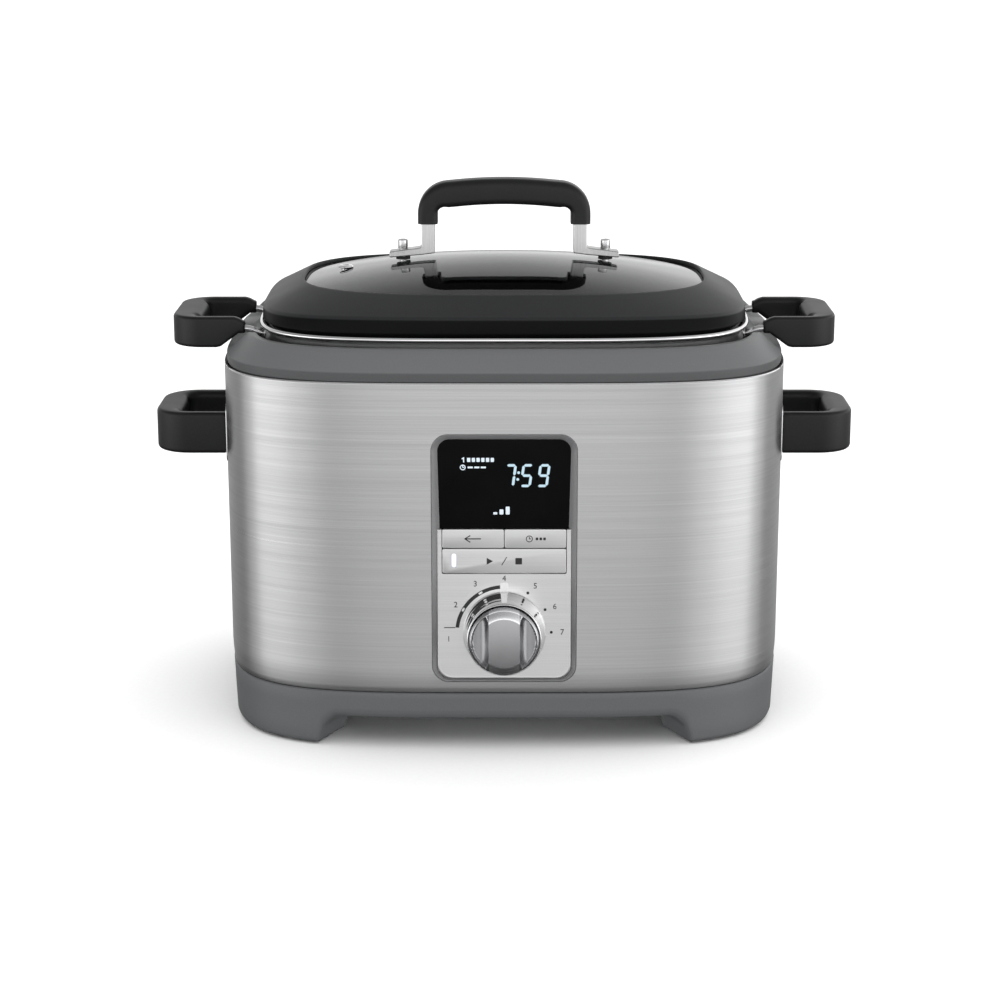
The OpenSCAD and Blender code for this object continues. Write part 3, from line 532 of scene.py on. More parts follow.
def arch_drop(x, y, edge_x, edge_y):
    """Height of the base's underside: the apron's edge between the feet, and the feet's soles."""
    def flank(along, across, edge, wall):
        # the end of a foot leans in with depth, with a wide round corner under the apron
        reach = edge - 0.5 * max(0, wall - across) - along
        if reach <= 0:
            return 0.0
        if reach < 5:
            return reach / 5 * 0.62
        return 0.62 + 0.38 * math.sin(min(1, (reach - 5) / 12) * math.pi / 2)
    rise = max(flank(abs(x), abs(y), ARCH_X, edge_y), flank(abs(y), abs(x), ARCH_Y, edge_x))
    return FOOT_GAP + (ARCH_H - FOOT_GAP) * rise


def base_shell():
    steps = 960
    top = WRAP_Z0 - 0.5
    wall_top = top - 1.4
    foot_a, foot_b = BODY_A - 1.9, BODY_B - 0.6
    round_r = 4.0

    def outline(z, inset):
        up = max(0, z) / top
        return oval(foot_a + (BODY_A - 0.5 - foot_a) * up - inset,
                    foot_b + (BODY_B + 0.1 - foot_b) * up - inset, 3.85, steps)

    rings = [[(x, y, z) for x, y in outline(top, inset)] for inset, z in
             ((FOOT_BAR, top), (3.0, top), (1.6, top), (0.7, top - 0.15), (0.2, top - 0.6),
              (0, wall_top))]
    for level in (0.75, 0.5, 0.25, 0.0):
        ring = []
        for (xh, yh), (xl, yl) in zip(outline(top, 0), outline(0, 0)):
            z_low = arch_drop(xl, yl, foot_a, foot_b) + round_r
            z = z_low + (wall_top - z_low) * level
            f = z / top
            ring.append((xl + (xh - xl) * f, yl + (yh - yl) * f, z))
        rings.append(ring)
    insets = [round_r * (1 - math.cos(math.radians(15 * k))) for k in range(1, 7)]
    for inset in insets + [8, 14, 20, 26, 31, FOOT_BAR]:
        lift = round_r - math.sqrt(round_r ** 2 - max(0, round_r - inset) ** 2)
        rings.append([(x, y, arch_drop(x, y, foot_a, foot_b) + lift) for x, y in outline(0, inset)])
    rings.append([(x, y, ARCH_H + 2) for x, y in outline(0, FOOT_BAR + 1)])
    make("base_shell", *loft(rings, loop=True), "housing", ["base_pan"], BASE, "base_plastic", 40)


# ---------------------------------------------------------------- pot and lid

def pot_shell():
    low, high = span("pot")
    rim_a, rim_b = high.x - 2.3, high.y - 2.3
    rim_z = high.z - 2.2
    wall_a, wall_b = rim_a - 1.7, rim_b - 1.7
    bead = 1.6
    z0 = low.z
    thick = 1.2

    def bead_points(r, steps, start, step):
        """Points round the rolled rim: the outline's half sizes and the height."""
        for k in range(steps):
            t = math.radians(start + step * k)
            yield rim_a + r * math.cos(t), rim_b + r * math.cos(t), rim_z + r * math.sin(t)

    outside = [(134, 90, z0), (146, 102, z0 + 7), (153, 109, z0 + 18), (156, 112, z0 + 34)]
    profile = [(60, 30, z0), (118, 74, z0)] + outside
    profile += [(wall_a - 0.2, wall_b - 0.2, rim_z - 12), (wall_a, wall_b, rim_z - 3.4)]
    profile += bead_points(bead, 11, -130, 26)
    profile += [(wall_a - thick, wall_b - thick, rim_z - 2.6),
                (wall_a - thick, wall_b - thick, rim_z - 12)]
    profile += [(a - thick, b - thick, z + thick) for a, b, z in reversed(outside)]
    profile += [(117, 73, z0 + thick), (60, 30, z0 + thick)]
    radii = [0, 0, 3, 8, 8, 10, 0, 1] + [0] * 11 + [1, 0, 10, 8, 8, 3, 0, 0]
    rings = [oval_ring(*point) for point in fillet(profile, radii, closed=False)]
    make("pot_shell", *loft(rings), "pot_unit", ["pot"], POT_STEEL, "pot_steel", 30)
    bright = [oval_ring(*point) for point in bead_points(bead + 0.06, 16, 0, 22.5)]
    make("pot_rim_bead", *loft(bright, loop=True), "pot_unit", [], POT_RIM, "polished_steel")


def lid_shells():
    low, high = span("lid_frame")
    a, b, top = high.x, high.y, high.z
    glass_high = span("lid_glass")[1]
    win_a, win_b = glass_high.x - 2.7, glass_high.y - 2.7
    skirt, skirt_z = 4.8, 278.5
    # each point is (half length, half width, height, power in plan, share of the sag)
    over, under = (3.6, 1), (3.0, 0)
    profile = [
        (a - skirt, b - skirt, skirt_z, 4, 0), (a - 0.6, b - 0.6, skirt_z, 4, 0),
        (a, b, skirt_z + 0.9, 4, 0), (a, b, LID_WALL_Z + 0.1, *over),
        (a - 1.5, b - 1.5, LID_WALL_Z + 1.7, *over),
        (win_a + 2.0, win_b + 2.0, top - 0.5, *under),
        (win_a + 0.3, win_b + 0.3, top - 0.1, *under), (win_a, win_b, top - 1.2, *under),
        (win_a, win_b, top - 2.6, *under), (win_a + 2, win_b + 2, top - 2.6, *under),
        (win_a + 2, win_b + 2, top - 7.6, *under), (win_a - 2, win_b - 2, top - 7.6, *under),
        (win_a - 2, win_b - 2, top - 8.8, *under), (a - skirt - 3.4, b - skirt - 3.4, 283, 4, 0),
        (a - skirt - 3.4, b - skirt - 3.4, low.z, 4, 0), (a - skirt, b - skirt, low.z, 4, 0),
    ]
    radii = [0, 0.5, 0.8, 0.9, 1.2, 0.8, 0.5, 0.4, 0, 0, 0, 0, 0, 1, 0.8, 0.8]
    rings = [[(x, y, z - LID_SAG * sunk * (x / a) ** 4) for x, y in oval(pa, pb, power)]
             for pa, pb, z, power, sunk in fillet(profile, radii)]
    make("lid_frame_shell", *loft(rings, loop=True), "lid_unit", ["lid_frame"], LID_BLACK,
         "lid_frame_black", 28)

    # the glass is round at its middle and squarer towards its edge
    edge_z = top - 3.4
    glass_thick = 4
    rise = glass_high.z - edge_z
    ga, gb = win_a + 1.7, win_b + 1.7
    steps = 26
    fractions = [k / steps for k in range(1, steps + 1)]
    rings = [oval_ring(ga * f, gb * f, z + rise * (1 - f * f), 2 + f)
             for z, order in ((edge_z - glass_thick, fractions), (edge_z, fractions[::-1]))
             for f in order]
    make("lid_glass_dome", *loft(rings), "lid_unit", ["lid_glass"], GLASS, "glass", 60)


def lid_seal():
    low, high = span("lid_seal")
    wall = 1.6
    profile = [(high.x - wall, high.y - wall, low.z), (high.x - 0.4, high.y - 0.4, low.z + 0.3),
               (high.x, high.y, low.z + 1.2), (high.x - 0.6, high.y - 0.6, low.z + 2),
               (high.x, high.y, low.z + 2.9), (high.x - 0.4, high.y - 0.4, high.z - 0.2),
               (high.x - wall, high.y - wall, high.z)]
    rings = [oval_ring(a, b, z) for a, b, z in fillet(profile, 0.3, steps=2)]
    seal = moulded("seal_silicone", (0.2, 0.2, 0.205), (0.26, 0.26, 0.265), (0.35, 0.45), 700, 0.1)
    make("lid_seal_ribbed", *loft(rings, loop=True), "lid_unit", ["lid_seal"], seal, "silicone")


def vent():
    low, high = span("vent_grommet")
    x = (low.x + high.x) / 2
    top = high.z
    profile = [(1.6, top - 5), (1.6, top - 0.9), (2.4, top - 0.1), (3.4, top), (4.6, top - 0.2),
               (5.4, top - 0.9), (5.2, top - 1.7), (3.3, top - 2), (3.3, low.z + 1.4), (5, low.z + 1.4),
               (5, low.z), (1.6, low.z)]
    verts, faces = turned(fillet(profile, 0.3, steps=2), 64, loop=True)
    make("steam_vent", [(x + u, v, h) for u, v, h in verts], faces, "lid_unit", ["vent_grommet"],
         CHROME, "polished_steel")


# ---------------------------------------------------------------- handles

def bow_path(x0, x1, half, r, arm=9, corner=10, straight=8):
    """Outer outline of a bow handle seen from above, with its inward normals and arc places."""
    first = [((x0 + (x1 - r - x0) * k / arm, -half), (0, 1), 0.0) for k in range(arm)]
    for k in range(corner + 1):
        t = math.radians(-90 + 90 * k / corner)
        first.append(((x1 - r + r * math.cos(t), -half + r + r * math.sin(t)),
                      (-math.cos(t), -math.sin(t)), k / corner))
    bar = [((x1, (half - r) * (2 * k / straight - 1)), (-1, 0), 1.0) for k in range(1, straight)]
    return first + bar + [((x, -y), (nx, -ny), f) for (x, y), (nx, ny), f in reversed(first)]


def soft_ends(rings, outward, layers):
    """Rounds both ends of a sweep with rings of (shrink, distance outward)."""
    def layer(ring, shrink, out):
        centre = sum((Vector(p) for p in ring), Vector()) / len(ring)
        for p in ring:
            reach = Vector(p) - centre
            depth = outward * reach.dot(outward)
            yield centre + depth + (reach - depth) * shrink + outward * out

    start, end = ([list(layer(ring, *each)) for each in layers] for ring in (rings[0], rings[-1]))
    return start[::-1] + rings + end


def bow_handle(x0, x1, half, arm, bar, r, z_span, r_out, r_in):
    """Sweeps a soft rectangular section round the bow; z_span(x) gives its underside and top."""
    rings = []
    for (x, y), (nx, ny), f in bow_path(x0, x1, half, r):
        wide = arm + (bar - arm) * smooth(f)
        low, high = z_span(x)
        inner = min(r_in + 3 * f, wide * 0.6, (high - low) * 0.45)
        section = fillet([(0, low), (wide, low), (wide, high), (0, high)],
                         [r_out, inner, inner, r_out], steps=6)
        rings.append([(x + nx * d, y + ny * d, z) for d, z in section])
    return loft(soft_ends(rings, Vector((-1, 0, 0)), ((0.985, 0.5), (0.94, 1.0), (0.86, 1.3))))


def both_sides(part, name, body, node, mat, slot, sharp=40):
    return [make(name + side, *shape, body, [node + side], mat, slot, sharp)
            for side, shape in (("_right", part), ("_left", mirrored(part)))]


def body_handles():
    low, high = span("body_handle_right")
    part = bow_handle(low.x + 1.4, high.x, high.y, 9.6, 18, 25,
                      lambda x: (low.z, high.z), 3.0, 5.0)
    both_sides(part, "body_grip", "housing", "body_handle", BLACK, "handle_black")

    plate_low, plate_high = span("handle_plate_right")
    half = plate_high.y
    outline = round_rect(-half, half, plate_low.z, plate_high.z, 5, 8)
    cz = (plate_low.z + plate_high.z) / 2

    def wall_x(y, out):
        return (BODY_A + out) * (1 - (abs(y) / (BODY_B + out)) ** 4) ** 0.25

    rings = []
    for inset, out in ((0, -0.3), (0, 1), (0.15, 1.35), (0.5, 1.5), (8, 1.5), (15, 1.5)):
        fy, fz = 1 - inset / half, 1 - inset / (plate_high.z - cz)
        rings.append([(wall_x(y * fy, out), y * fy, cz + (z - cz) * fz) for y, z in outline])
    both_sides(loft(rings), "handle_plate_shell", "housing", "handle_plate", BRIGHT,
               "polished_steel", 30)


def pot_handles():
    low, high = span("pot_grip_right")
    arm_end = low.x + 1.4

    def z_span(x):
        # towards the pot the arms get thinner, first from below and then from above
        rise = max(0, min(1, (196.5 - x) / 13.5))
        return low.z + 9.9 * rise, high.z - 3.6 * smooth((186 - x) / 9)

    part = bow_handle(arm_end, high.x, high.y, 8.6, 20, 22, z_span, 2.6, 4.0)
    both_sides(part, "pot_grip_shell", "pot_unit", "pot_grip", BLACK, "handle_black")

    rod_r = 2.4
    rod_y = 39.6
    pad_z = 264.8
    wall_x = span("pot_bracket_right")[0].x
    path = fillet([(wall_x, pad_z), (170, pad_z + 1.0), (175.5, pad_z + 3.6), (184, 268.6),
                   (195, 268.6)], [0, 3, 3, 0, 0], closed=False, steps=5)
    parts = []
    for side in (-1, 1):
        rings = []
        for i, (x, z) in enumerate(path):
            along = (path[min(len(path) - 1, i + 1)] - path[max(0, i - 1)]).normalized()
            rings.append([(x - along.y * u, side * rod_y + v, z + along.x * u)
                          for u, v in circle(rod_r, 24)])
        pad = [[(wall_x + out, side * rod_y + 4.4 * u, pad_z - 0.2 + 5.6 * v)
                for u, v in circle(scale, 32)] for out, scale in
               ((-0.2, 1.0), (0.8, 1.0), (1.15, 0.93), (1.3, 0.8), (1.35, 0.3))]
        parts += [loft(rings), loft(pad)]
    both_sides(join(*parts), "pot_rods", "pot_unit", "pot_bracket", BRIGHT, "polished_steel")


def lid_handle():
    low, high = span("lid_grip")
    half_x, half_y = high.x, high.y
    r = 22
    crown = 2.2
    end_w = 13.8
    top_w = 17.8
    stations = []
    for k in range(4):
        stations.append(((half_x, low.z + (high.z - crown - r - low.z) * k / 4), (-1, 0), 0.0))
    for k in range(13):
        t = math.radians(86 * k / 12)
        stations.append(((half_x - r + r * math.cos(t), high.z - crown - r + r * math.sin(t)),
                         (-math.cos(t), -math.sin(t)), k / 12))
    flat = half_x - r
    for k in range(1, 10):
        x = flat * (1 - k / 10)
        z = high.z - crown * (x / flat) ** 2
        slope = 2 * crown * x / flat ** 2
        norm = math.hypot(1, slope)
        stations.append(((x, z), (-slope / norm, -1 / norm), 1.0))
    stations += [((-x, z), (-nx, nz), f) for (x, z), (nx, nz), f in reversed(stations)]
    stations.insert(len(stations) // 2, ((0, high.z), (0, -1), 1.0))
    rings = []
    for (x, z), (nx, nz), f in stations:
        wide = end_w + (top_w - end_w) * smooth(f)
        section = fillet([(0, -half_y), (wide, -half_y), (wide, half_y), (0, half_y)],
                         [5.5, 4.5, 4.5, 5.5], steps=7)
        rings.append([(x + nx * d, y, z + nz * d) for d, y in section])
    rings = soft_ends(rings, Vector((0, 0, -1)), ((0.97, -0.25), (0.92, 0.0)))
    make("lid_grip_shell", *loft(rings), "lid_unit", ["lid_grip"], BLACK, "handle_black", 40)


def lid_brackets():
    low, high = span("lid_bracket_right")
    x0 = low.x
    x1 = 57.6
    outline = fillet(
        [(x0, high.z), (x0, low.z + 3.2), (x1, low.z + 2), (high.x, low.z), (high.x, low.z + 4.2),
         (x1, low.z + 7.1), (x1, high.z)], [0, 1, 1, 1.4, 1.4, 2.2, 0], steps=5)
    for piece in both_sides(extruded(outline, -high.y, high.y), "lid_bracket_bar", "lid_unit",
                            "lid_bracket", BRACKET, "bracket_steel", 30):
        bevel(piece, 0.7, 3)


def lid_bolts():
    low, high = span("lid_bolts")
    x = high.x - 3.4
    head = high.z - 5.5

    def at_bolts(part):
        verts, faces = part
        return [([(side * x + u, v, h) for u, v, h in verts], faces) for side in (-1, 1)]

    profile = [(0, head - 1), (3.4, head - 1), (3.4, high.z - 0.5), (3.0, high.z), (1.95, high.z),
               (1.8, high.z - 0.3), (1.8, high.z - 2.8), (0, high.z - 3.0)]
    parts = at_bolts(turned(fillet(profile, 0.25, closed=False, steps=2), 48))
    parts += at_bolts(turned([(2.4, low.z), (2.4, head)], 32))
    make("lid_cap_bolts", *join(*parts), "lid_unit", ["lid_bolts"], SCREW, "screw_steel", 40)
    parts = []
    for z0, z1 in ((low.z + 11.7, low.z + 13.5), (low.z + 5, low.z + 6.2)):
        profile = [(2.6, z0), (5, z0), (5, z1), (2.6, z1)]
        parts += at_bolts(turned(fillet(profile, 0.35, steps=3), 48))
    make("lid_washers_soft", *join(*parts), "lid_unit", ["lid_washers"], RUBBER, "rubber", 40)


# ---------------------------------------------------------------- control panel

DIAL_Z = (span("knob_skirt")[0].z + span("knob_skirt")[1].z) / 2
SPLIT_Z = span("display_glass")[0].z - 0.2
PLATE_Z0 = PANEL_LOW.z + 1.1
PLATE_HALF = 45.0
BUTTON_HALF = span("start_button")[1].x


def plate_depth(z):
    """How far the silver plate sits behind the steel's face: it leans back towards the top."""
    return 1.5 + 1.5 * (z - PLATE_Z0) / (SPLIT_Z - PLATE_Z0)


def glass_depth(z):
    """The display leans the other way: its lower edge is the deepest."""
    return 3.8 + 1.9 * (PANEL_HIGH.z - 4 - z) / (PANEL_HIGH.z - 4 - SPLIT_Z)


def leaning(part, depth):
    """Sets a part that was drawn with its face at y = 0 on a leaning plane of the panel."""
    return [(x, FRONT + y + depth(z), z) for x, y, z in part[0]], part[1]


EASED = ((1.0, 0.0), (0.45, 0.12), (0.12, 0.45), (0.0, 1.0))


def slab(outline, y_front, y_back, edge, layers=EASED):
    """A plate with an eased front edge of a width; layers are (inset, depth) in parts of it."""
    cx, cz = (sum(p[k] for p in outline) / len(outline) for k in (0, 1))
    half_x = max(abs(x - cx) for x, z in outline)
    half_z = max(abs(z - cz) for x, z in outline)
    rings = []
    for inset, back in layers:
        fx, fz = 1 - inset * edge / half_x, 1 - inset * edge / half_z
        rings.append([(cx + (x - cx) * fx, y_front + back * edge, cz + (z - cz) * fz)
                      for x, z in outline])
    return loft(rings + [[(x, y_back, z) for x, z in outline]])


def panel_bezel():
    x1, z0, z1 = PANEL_HIGH.x, PANEL_LOW.z, PANEL_HIGH.z
    rings = []
    for inset, depth in ((0.0, 11), (0.0, 0.5), (0.1, 0.26), (0.35, 0.2), (0.7, 0.34), (3.6, 3.3),
                         (5.6, 6.3), (6.2, 6.9), (6.2, 11)):
        r = 11.3 - inset * 0.8
        bottom = min(inset, 1.0 + inset * 0.15)
        outline = round_rect(-x1 + inset, x1 - inset, z0 + bottom, z1 - inset, (r, r), 14)
        rings.append([(x, FRONT + depth, z) for x, z in outline])
    make("bezel_frame", *loft(rings, loop=True), "housing", ["panel_bezel"], BEZEL, "bezel_grey", 25)


def display():
    low, high = SPLIT_Z - 0.4, PANEL_HIGH.z - 3.4
    outline = round_rect(-44.6, 44.6, low, high, (0.4, 8.4), 12)
    outline = [(x * (1 - 0.042 * (high - z) / (high - low)), z) for x, z in outline]
    make("display_pane", *leaning(extruded(outline, 0.0, 2.0), glass_depth), "housing",
         ["display_glass"], DISPLAY, "display_black")


# printed and lit marks stand a little proud of their plate, and go into it
MARK_FRONT, MARK_BACK = -0.06, 0.2
SEGMENTS = {"a": (0, 1, 1, 1), "b": (1, 0.5, 1, 1), "c": (1, 0, 1, 0.5), "d": (0, 0, 1, 0),
            "e": (0, 0, 0, 0.5), "f": (0, 0.5, 0, 1), "g": (0, 0.5, 1, 0.5)}
SHAPES = {"7": "abc", "5": "acdfg", "9": "abcdfg"}


def mark(outline):
    return extruded(outline, MARK_FRONT, MARK_BACK)


def segment_digit(digit, x, z, width, height, stroke, slant):
    parts = []
    gap = 0.12
    for key in SHAPES[digit]:
        u0, v0, u1, v1 = SEGMENTS[key]
        p = Vector((x + u0 * width, z + v0 * height))
        q = Vector((x + u1 * width, z + v1 * height))
        along = (q - p).normalized()
        across = Vector((-along.y, along.x))
        p, q = p + along * gap, q - along * gap
        h = stroke / 2
        outline = [p, p + (along + across) * h, q + (across - along) * h, q,
                   q - (along + across) * h, p + (along - across) * h]
        outline = [(a + (b - z) * slant, b) for a, b in outline]
        parts.append(mark(outline))
    return parts


def disc(x, z, r, y0=MARK_FRONT, y1=MARK_BACK, steps=24):
    return extruded(circle(r, steps, x, z), y0, y1)


def bar_mark(x0, x1, z0, z1):
    return mark(round_rect(x0, x1, z0, z1, min(x1 - x0, z1 - z0) * 0.2, 3))


def ring_mark(x, z, r, w, a0=0, a1=360, steps=48):
    """Part of a flat ring; angles are in degrees from the top, clockwise as seen from the front."""
    closed = a1 - a0 >= 360
    angles = [math.radians(a0 + (a1 - a0) * k / steps) for k in range(steps if closed else steps + 1)]
    outer, inner = ([(x + reach * math.sin(t), z + reach * math.cos(t)) for t in angles]
                    for reach in (r, r - w))
    if not closed:
        return mark(outer + inner[::-1])
    return loft([[(a, y, b) for a, b in edge] for edge, y in
                 ((outer, MARK_FRONT), (outer, MARK_BACK), (inner, MARK_BACK), (inner, MARK_FRONT))],
                loop=True)


def line_mark(points, w):
    parts = []
    for p, q in zip(points, points[1:]):
        p, q = Vector(p), Vector(q)
        along = (q - p).normalized() * w / 2
        across = Vector((-along.y, along.x))
        p, q = p - along * 0.6, q + along * 0.6
        parts.append(mark([p + across, q + across, q - across, p - across]))
    return join(*parts)


def clock_mark(x, z, r, w):
    return join(ring_mark(x, z, r, w), line_mark([(x, z + r * 0.55), (x, z), (x + r * 0.42, z)], w))


def display_marks():
    digits = []
    z, height, width = 182.2, 14.0, 5.7
    for digit, x in (("7", 0.0), ("5", 11.0), ("9", 22.1)):
        digits += segment_digit(digit, x, z, width, height, 1.75, 0.13)
    for x, dot_z in ((8.9, 186.6), (9.5, 191.2)):
        digits.append(disc(x, dot_z, 0.95))
    make("display_digits", *leaning(join(*digits), glass_depth), "housing", [], DIGIT_GLOW,
         "display_black")
    marks = [line_mark([(-27.6, 200.6), (-26.6, 201.4), (-26.6, 198.4)], 0.75)]
    for k in range(6):
        marks.append(bar_mark(-24.4 + 3.1 * k, -22.2 + 3.1 * k, 198.5, 201.3))
    marks.append(clock_mark(-27.2, 194.8, 1.9, 0.6))
    for k in range(3):
        marks.append(bar_mark(-24 + 4.3 * k, -20.6 + 4.3 * k, 194.2, 195.4))
    for k in range(3):
        marks.append(bar_mark(-7.2 + 4.1 * k, -4.6 + 4.1 * k, 162.6, 164.2 + 1.9 * k))
    make("display_symbols", *leaning(join(*marks), glass_depth), "housing", [], WORD_GLOW,
         "display_black")


def plate():
    outline = round_rect(-PLATE_HALF, PLATE_HALF, PLATE_Z0, SPLIT_Z - 0.1, (9.6, 0.4), 14)
    layers = ((1.6, 0.1), (1.0, 0.0), (0.7, 0.04), (0.4, 0.22), (0.14, 0.55), (0.0, 1.1))
    piece = make("plate_face", *slab(outline, 0.0, 2.4, 1.5, layers), "housing", ["panel_plate"],
                 PANEL, "silver_panel")
    clear = 0.35
    hole = round_rect(-BUTTON_HALF - clear, BUTTON_HALF + clear, span("start_button")[0].z - clear,
                      SPLIT_Z + 6, 0.9, 5)
    cut(piece, extruded(hole, -3, 6))
    cut(piece, disc(0, DIAL_Z, 4.8, -3, 6, 48))
    for v in piece.data.vertices:
        v.co.y += (FRONT + plate_depth(v.co.z / MM)) * MM
    soften(piece, 30)
    piece.data.update()
    bevel(piece, 0.22, 2, 50)


def text_marks(text, x, z, size):
    """Outline lettering from the built-in typeface, as a flat mesh part centred on a point."""
    curve = bpy.data.curves.new("letters", "FONT")
    curve.body = text
    curve.size = size
    curve.align_x = "CENTER"
    curve.align_y = "CENTER"
    curve.extrude = (MARK_BACK - MARK_FRONT) / 2
    curve.resolution_u = 4
    helper = add_object("letters", curve)
    mesh = evaluated_mesh(helper)
    middle = (MARK_FRONT + MARK_BACK) / 2
    verts = [(x + v.co.x, middle - v.co.z, z + v.co.y) for v in mesh.vertices]
    faces = [tuple(p.vertices) for p in mesh.polygons]
    bpy.data.objects.remove(helper)
    bpy.data.meshes.remove(mesh)
    bpy.data.curves.remove(curve)
    return verts, faces


def dial_print():
    r = 31.4
    dots, gaps = (-60, -30), 2.6

    def around(angle, radius):
        t = math.radians(angle)
        return disc(r * math.sin(t), DIAL_Z + r * math.cos(t), radius)

    # the black arc, broken by two light dots
    ends = [-84] + [a + side * gaps for a in dots for side in (-1, 1)] + [-5]
    parts = [ring_mark(0, DIAL_Z, r + 1.2, 2.4, a0, a1, steps=24)
             for a0, a1 in zip(ends[::2], ends[1::2])]
    for a in dots:
        for edge in (r + 1.2, r - 0.7):
            parts.append(ring_mark(0, DIAL_Z, edge, 0.5, a - 2.7, a + 2.7, steps=6))
    parts += [around(a, 0.95) for a in (30, 60, 90)]
    parts.append(bar_mark(-40, -32.6, DIAL_Z + 3.0, DIAL_Z + 3.5))
    for k, (x, z) in enumerate(((-37, 77.5), (-32.2, 101.2), (-19.2, 115.6), (0, 119.3),
                                (20.6, 114.2), (33.6, 100), (38.6, 82.3))):
        parts.append(text_marks(str(k + 1), x, z, 5.4))
    make("dial_print", *leaning(join(*parts), plate_depth), "housing", ["dial_markings"], INK,
         "black_ink")
    white = moulded("print_white", (0.8, 0.8, 0.8), (0.86, 0.86, 0.86), (0.3, 0.4), 900, 0.05)
    lights = [around(a, 0.85) for a in dots]
    lights.append(bar_mark(-2.7, 2.7, DIAL_Z + 25.6, DIAL_Z + 34.4))
    make("dial_print_white", *leaning(join(*lights), plate_depth), "housing", [], white,
         "silver_panel")


def button(name, node, body, x0, x1, z0, z1, stems, marks, light_hole=None):
    outline = round_rect(x0, x1, z0, z1, 1.1, 5)
    face = slab(outline, -0.3, 2.6, 0.35)
    piece = make(name, *leaning(face, plate_depth), body, [node], PANEL, "silver_panel", 35)
    if light_hole:
        cut(piece, leaning(extruded(light_hole, -3, 1.6), plate_depth))
        soften(piece, 35)
    board = span("tact_switches")[0].y
    for k, (x, z) in enumerate(stems):
        stem = disc(x, z, 1.8, FRONT + plate_depth(z) + 2.4, board - 1.1)
        make(name + "_stem" + str(k), *stem, body, [], BASE, "black_plastic")
    verts, faces = leaning(marks, plate_depth)
    make(name + "_symbol", [(x, y - 0.3, z) for x, y, z in verts], faces, body, [], INK,
         "black_ink")


def buttons():
    back_low, back_high = span("back_button")
    start_low, start_high = span("start_button")
    mid = (back_low.z + back_high.z) / 2
    arrow = join(line_mark([(-26, mid), (-15.6, mid)], 0.7),
                 line_mark([(-22.6, mid + 2.2), (-26, mid), (-22.6, mid - 2.2)], 0.7))
    button("back_key_cap", "back_button", "back_key", back_low.x, -0.25, back_low.z, back_high.z,
           [(-21, mid)], arrow)
    timer = [clock_mark(16.6, mid, 2.3, 0.55)]
    timer += [bar_mark(20.8 + 2.5 * k, 22.5 + 2.5 * k, mid - 0.9, mid + 0.9) for k in range(3)]
    button("timer_key_cap", "timer_button", "timer_key", 0.25, -back_low.x, back_low.z,
           back_high.z, [(21, mid)], join(*timer))
    mid = (start_low.z + start_high.z) / 2
    play = mark([(-11.6, mid - 2.3), (-11.6, mid + 2.3), (-7.4, mid)])
    slash = line_mark([(-1.6, mid - 2.6), (1.6, mid + 2.6)], 0.55)
    stop = mark(round_rect(7.4, 11.8, mid - 2.2, mid + 2.2, 0.3, 2))
    low, high = span("start_light")
    low_x, high_x, low_z, high_z = low.x - 0.25, high.x + 0.25, low.z - 0.4, high.z + 0.4
    half = (high_x - low_x) / 2
    pill = round_rect(low_x, high_x, low_z, high_z, half - 0.01, 8)
    button("start_key_cap", "start_button", "start_key", start_low.x, -start_low.x, start_low.z,
           start_high.z, [(-12, mid), (12, mid)], join(play, slash, stop), pill)
    inner = round_rect(low_x + 0.3, high_x - 0.3, low_z + 0.3, high_z - 0.3, half - 0.32, 8)
    make("start_light_pipe", *leaning(slab(inner, -0.1, 2.0, 0.5), plate_depth), "start_key",
         ["start_light"], LIGHT_GLOW, "light_pipe", 50)


# ---------------------------------------------------------------- knob

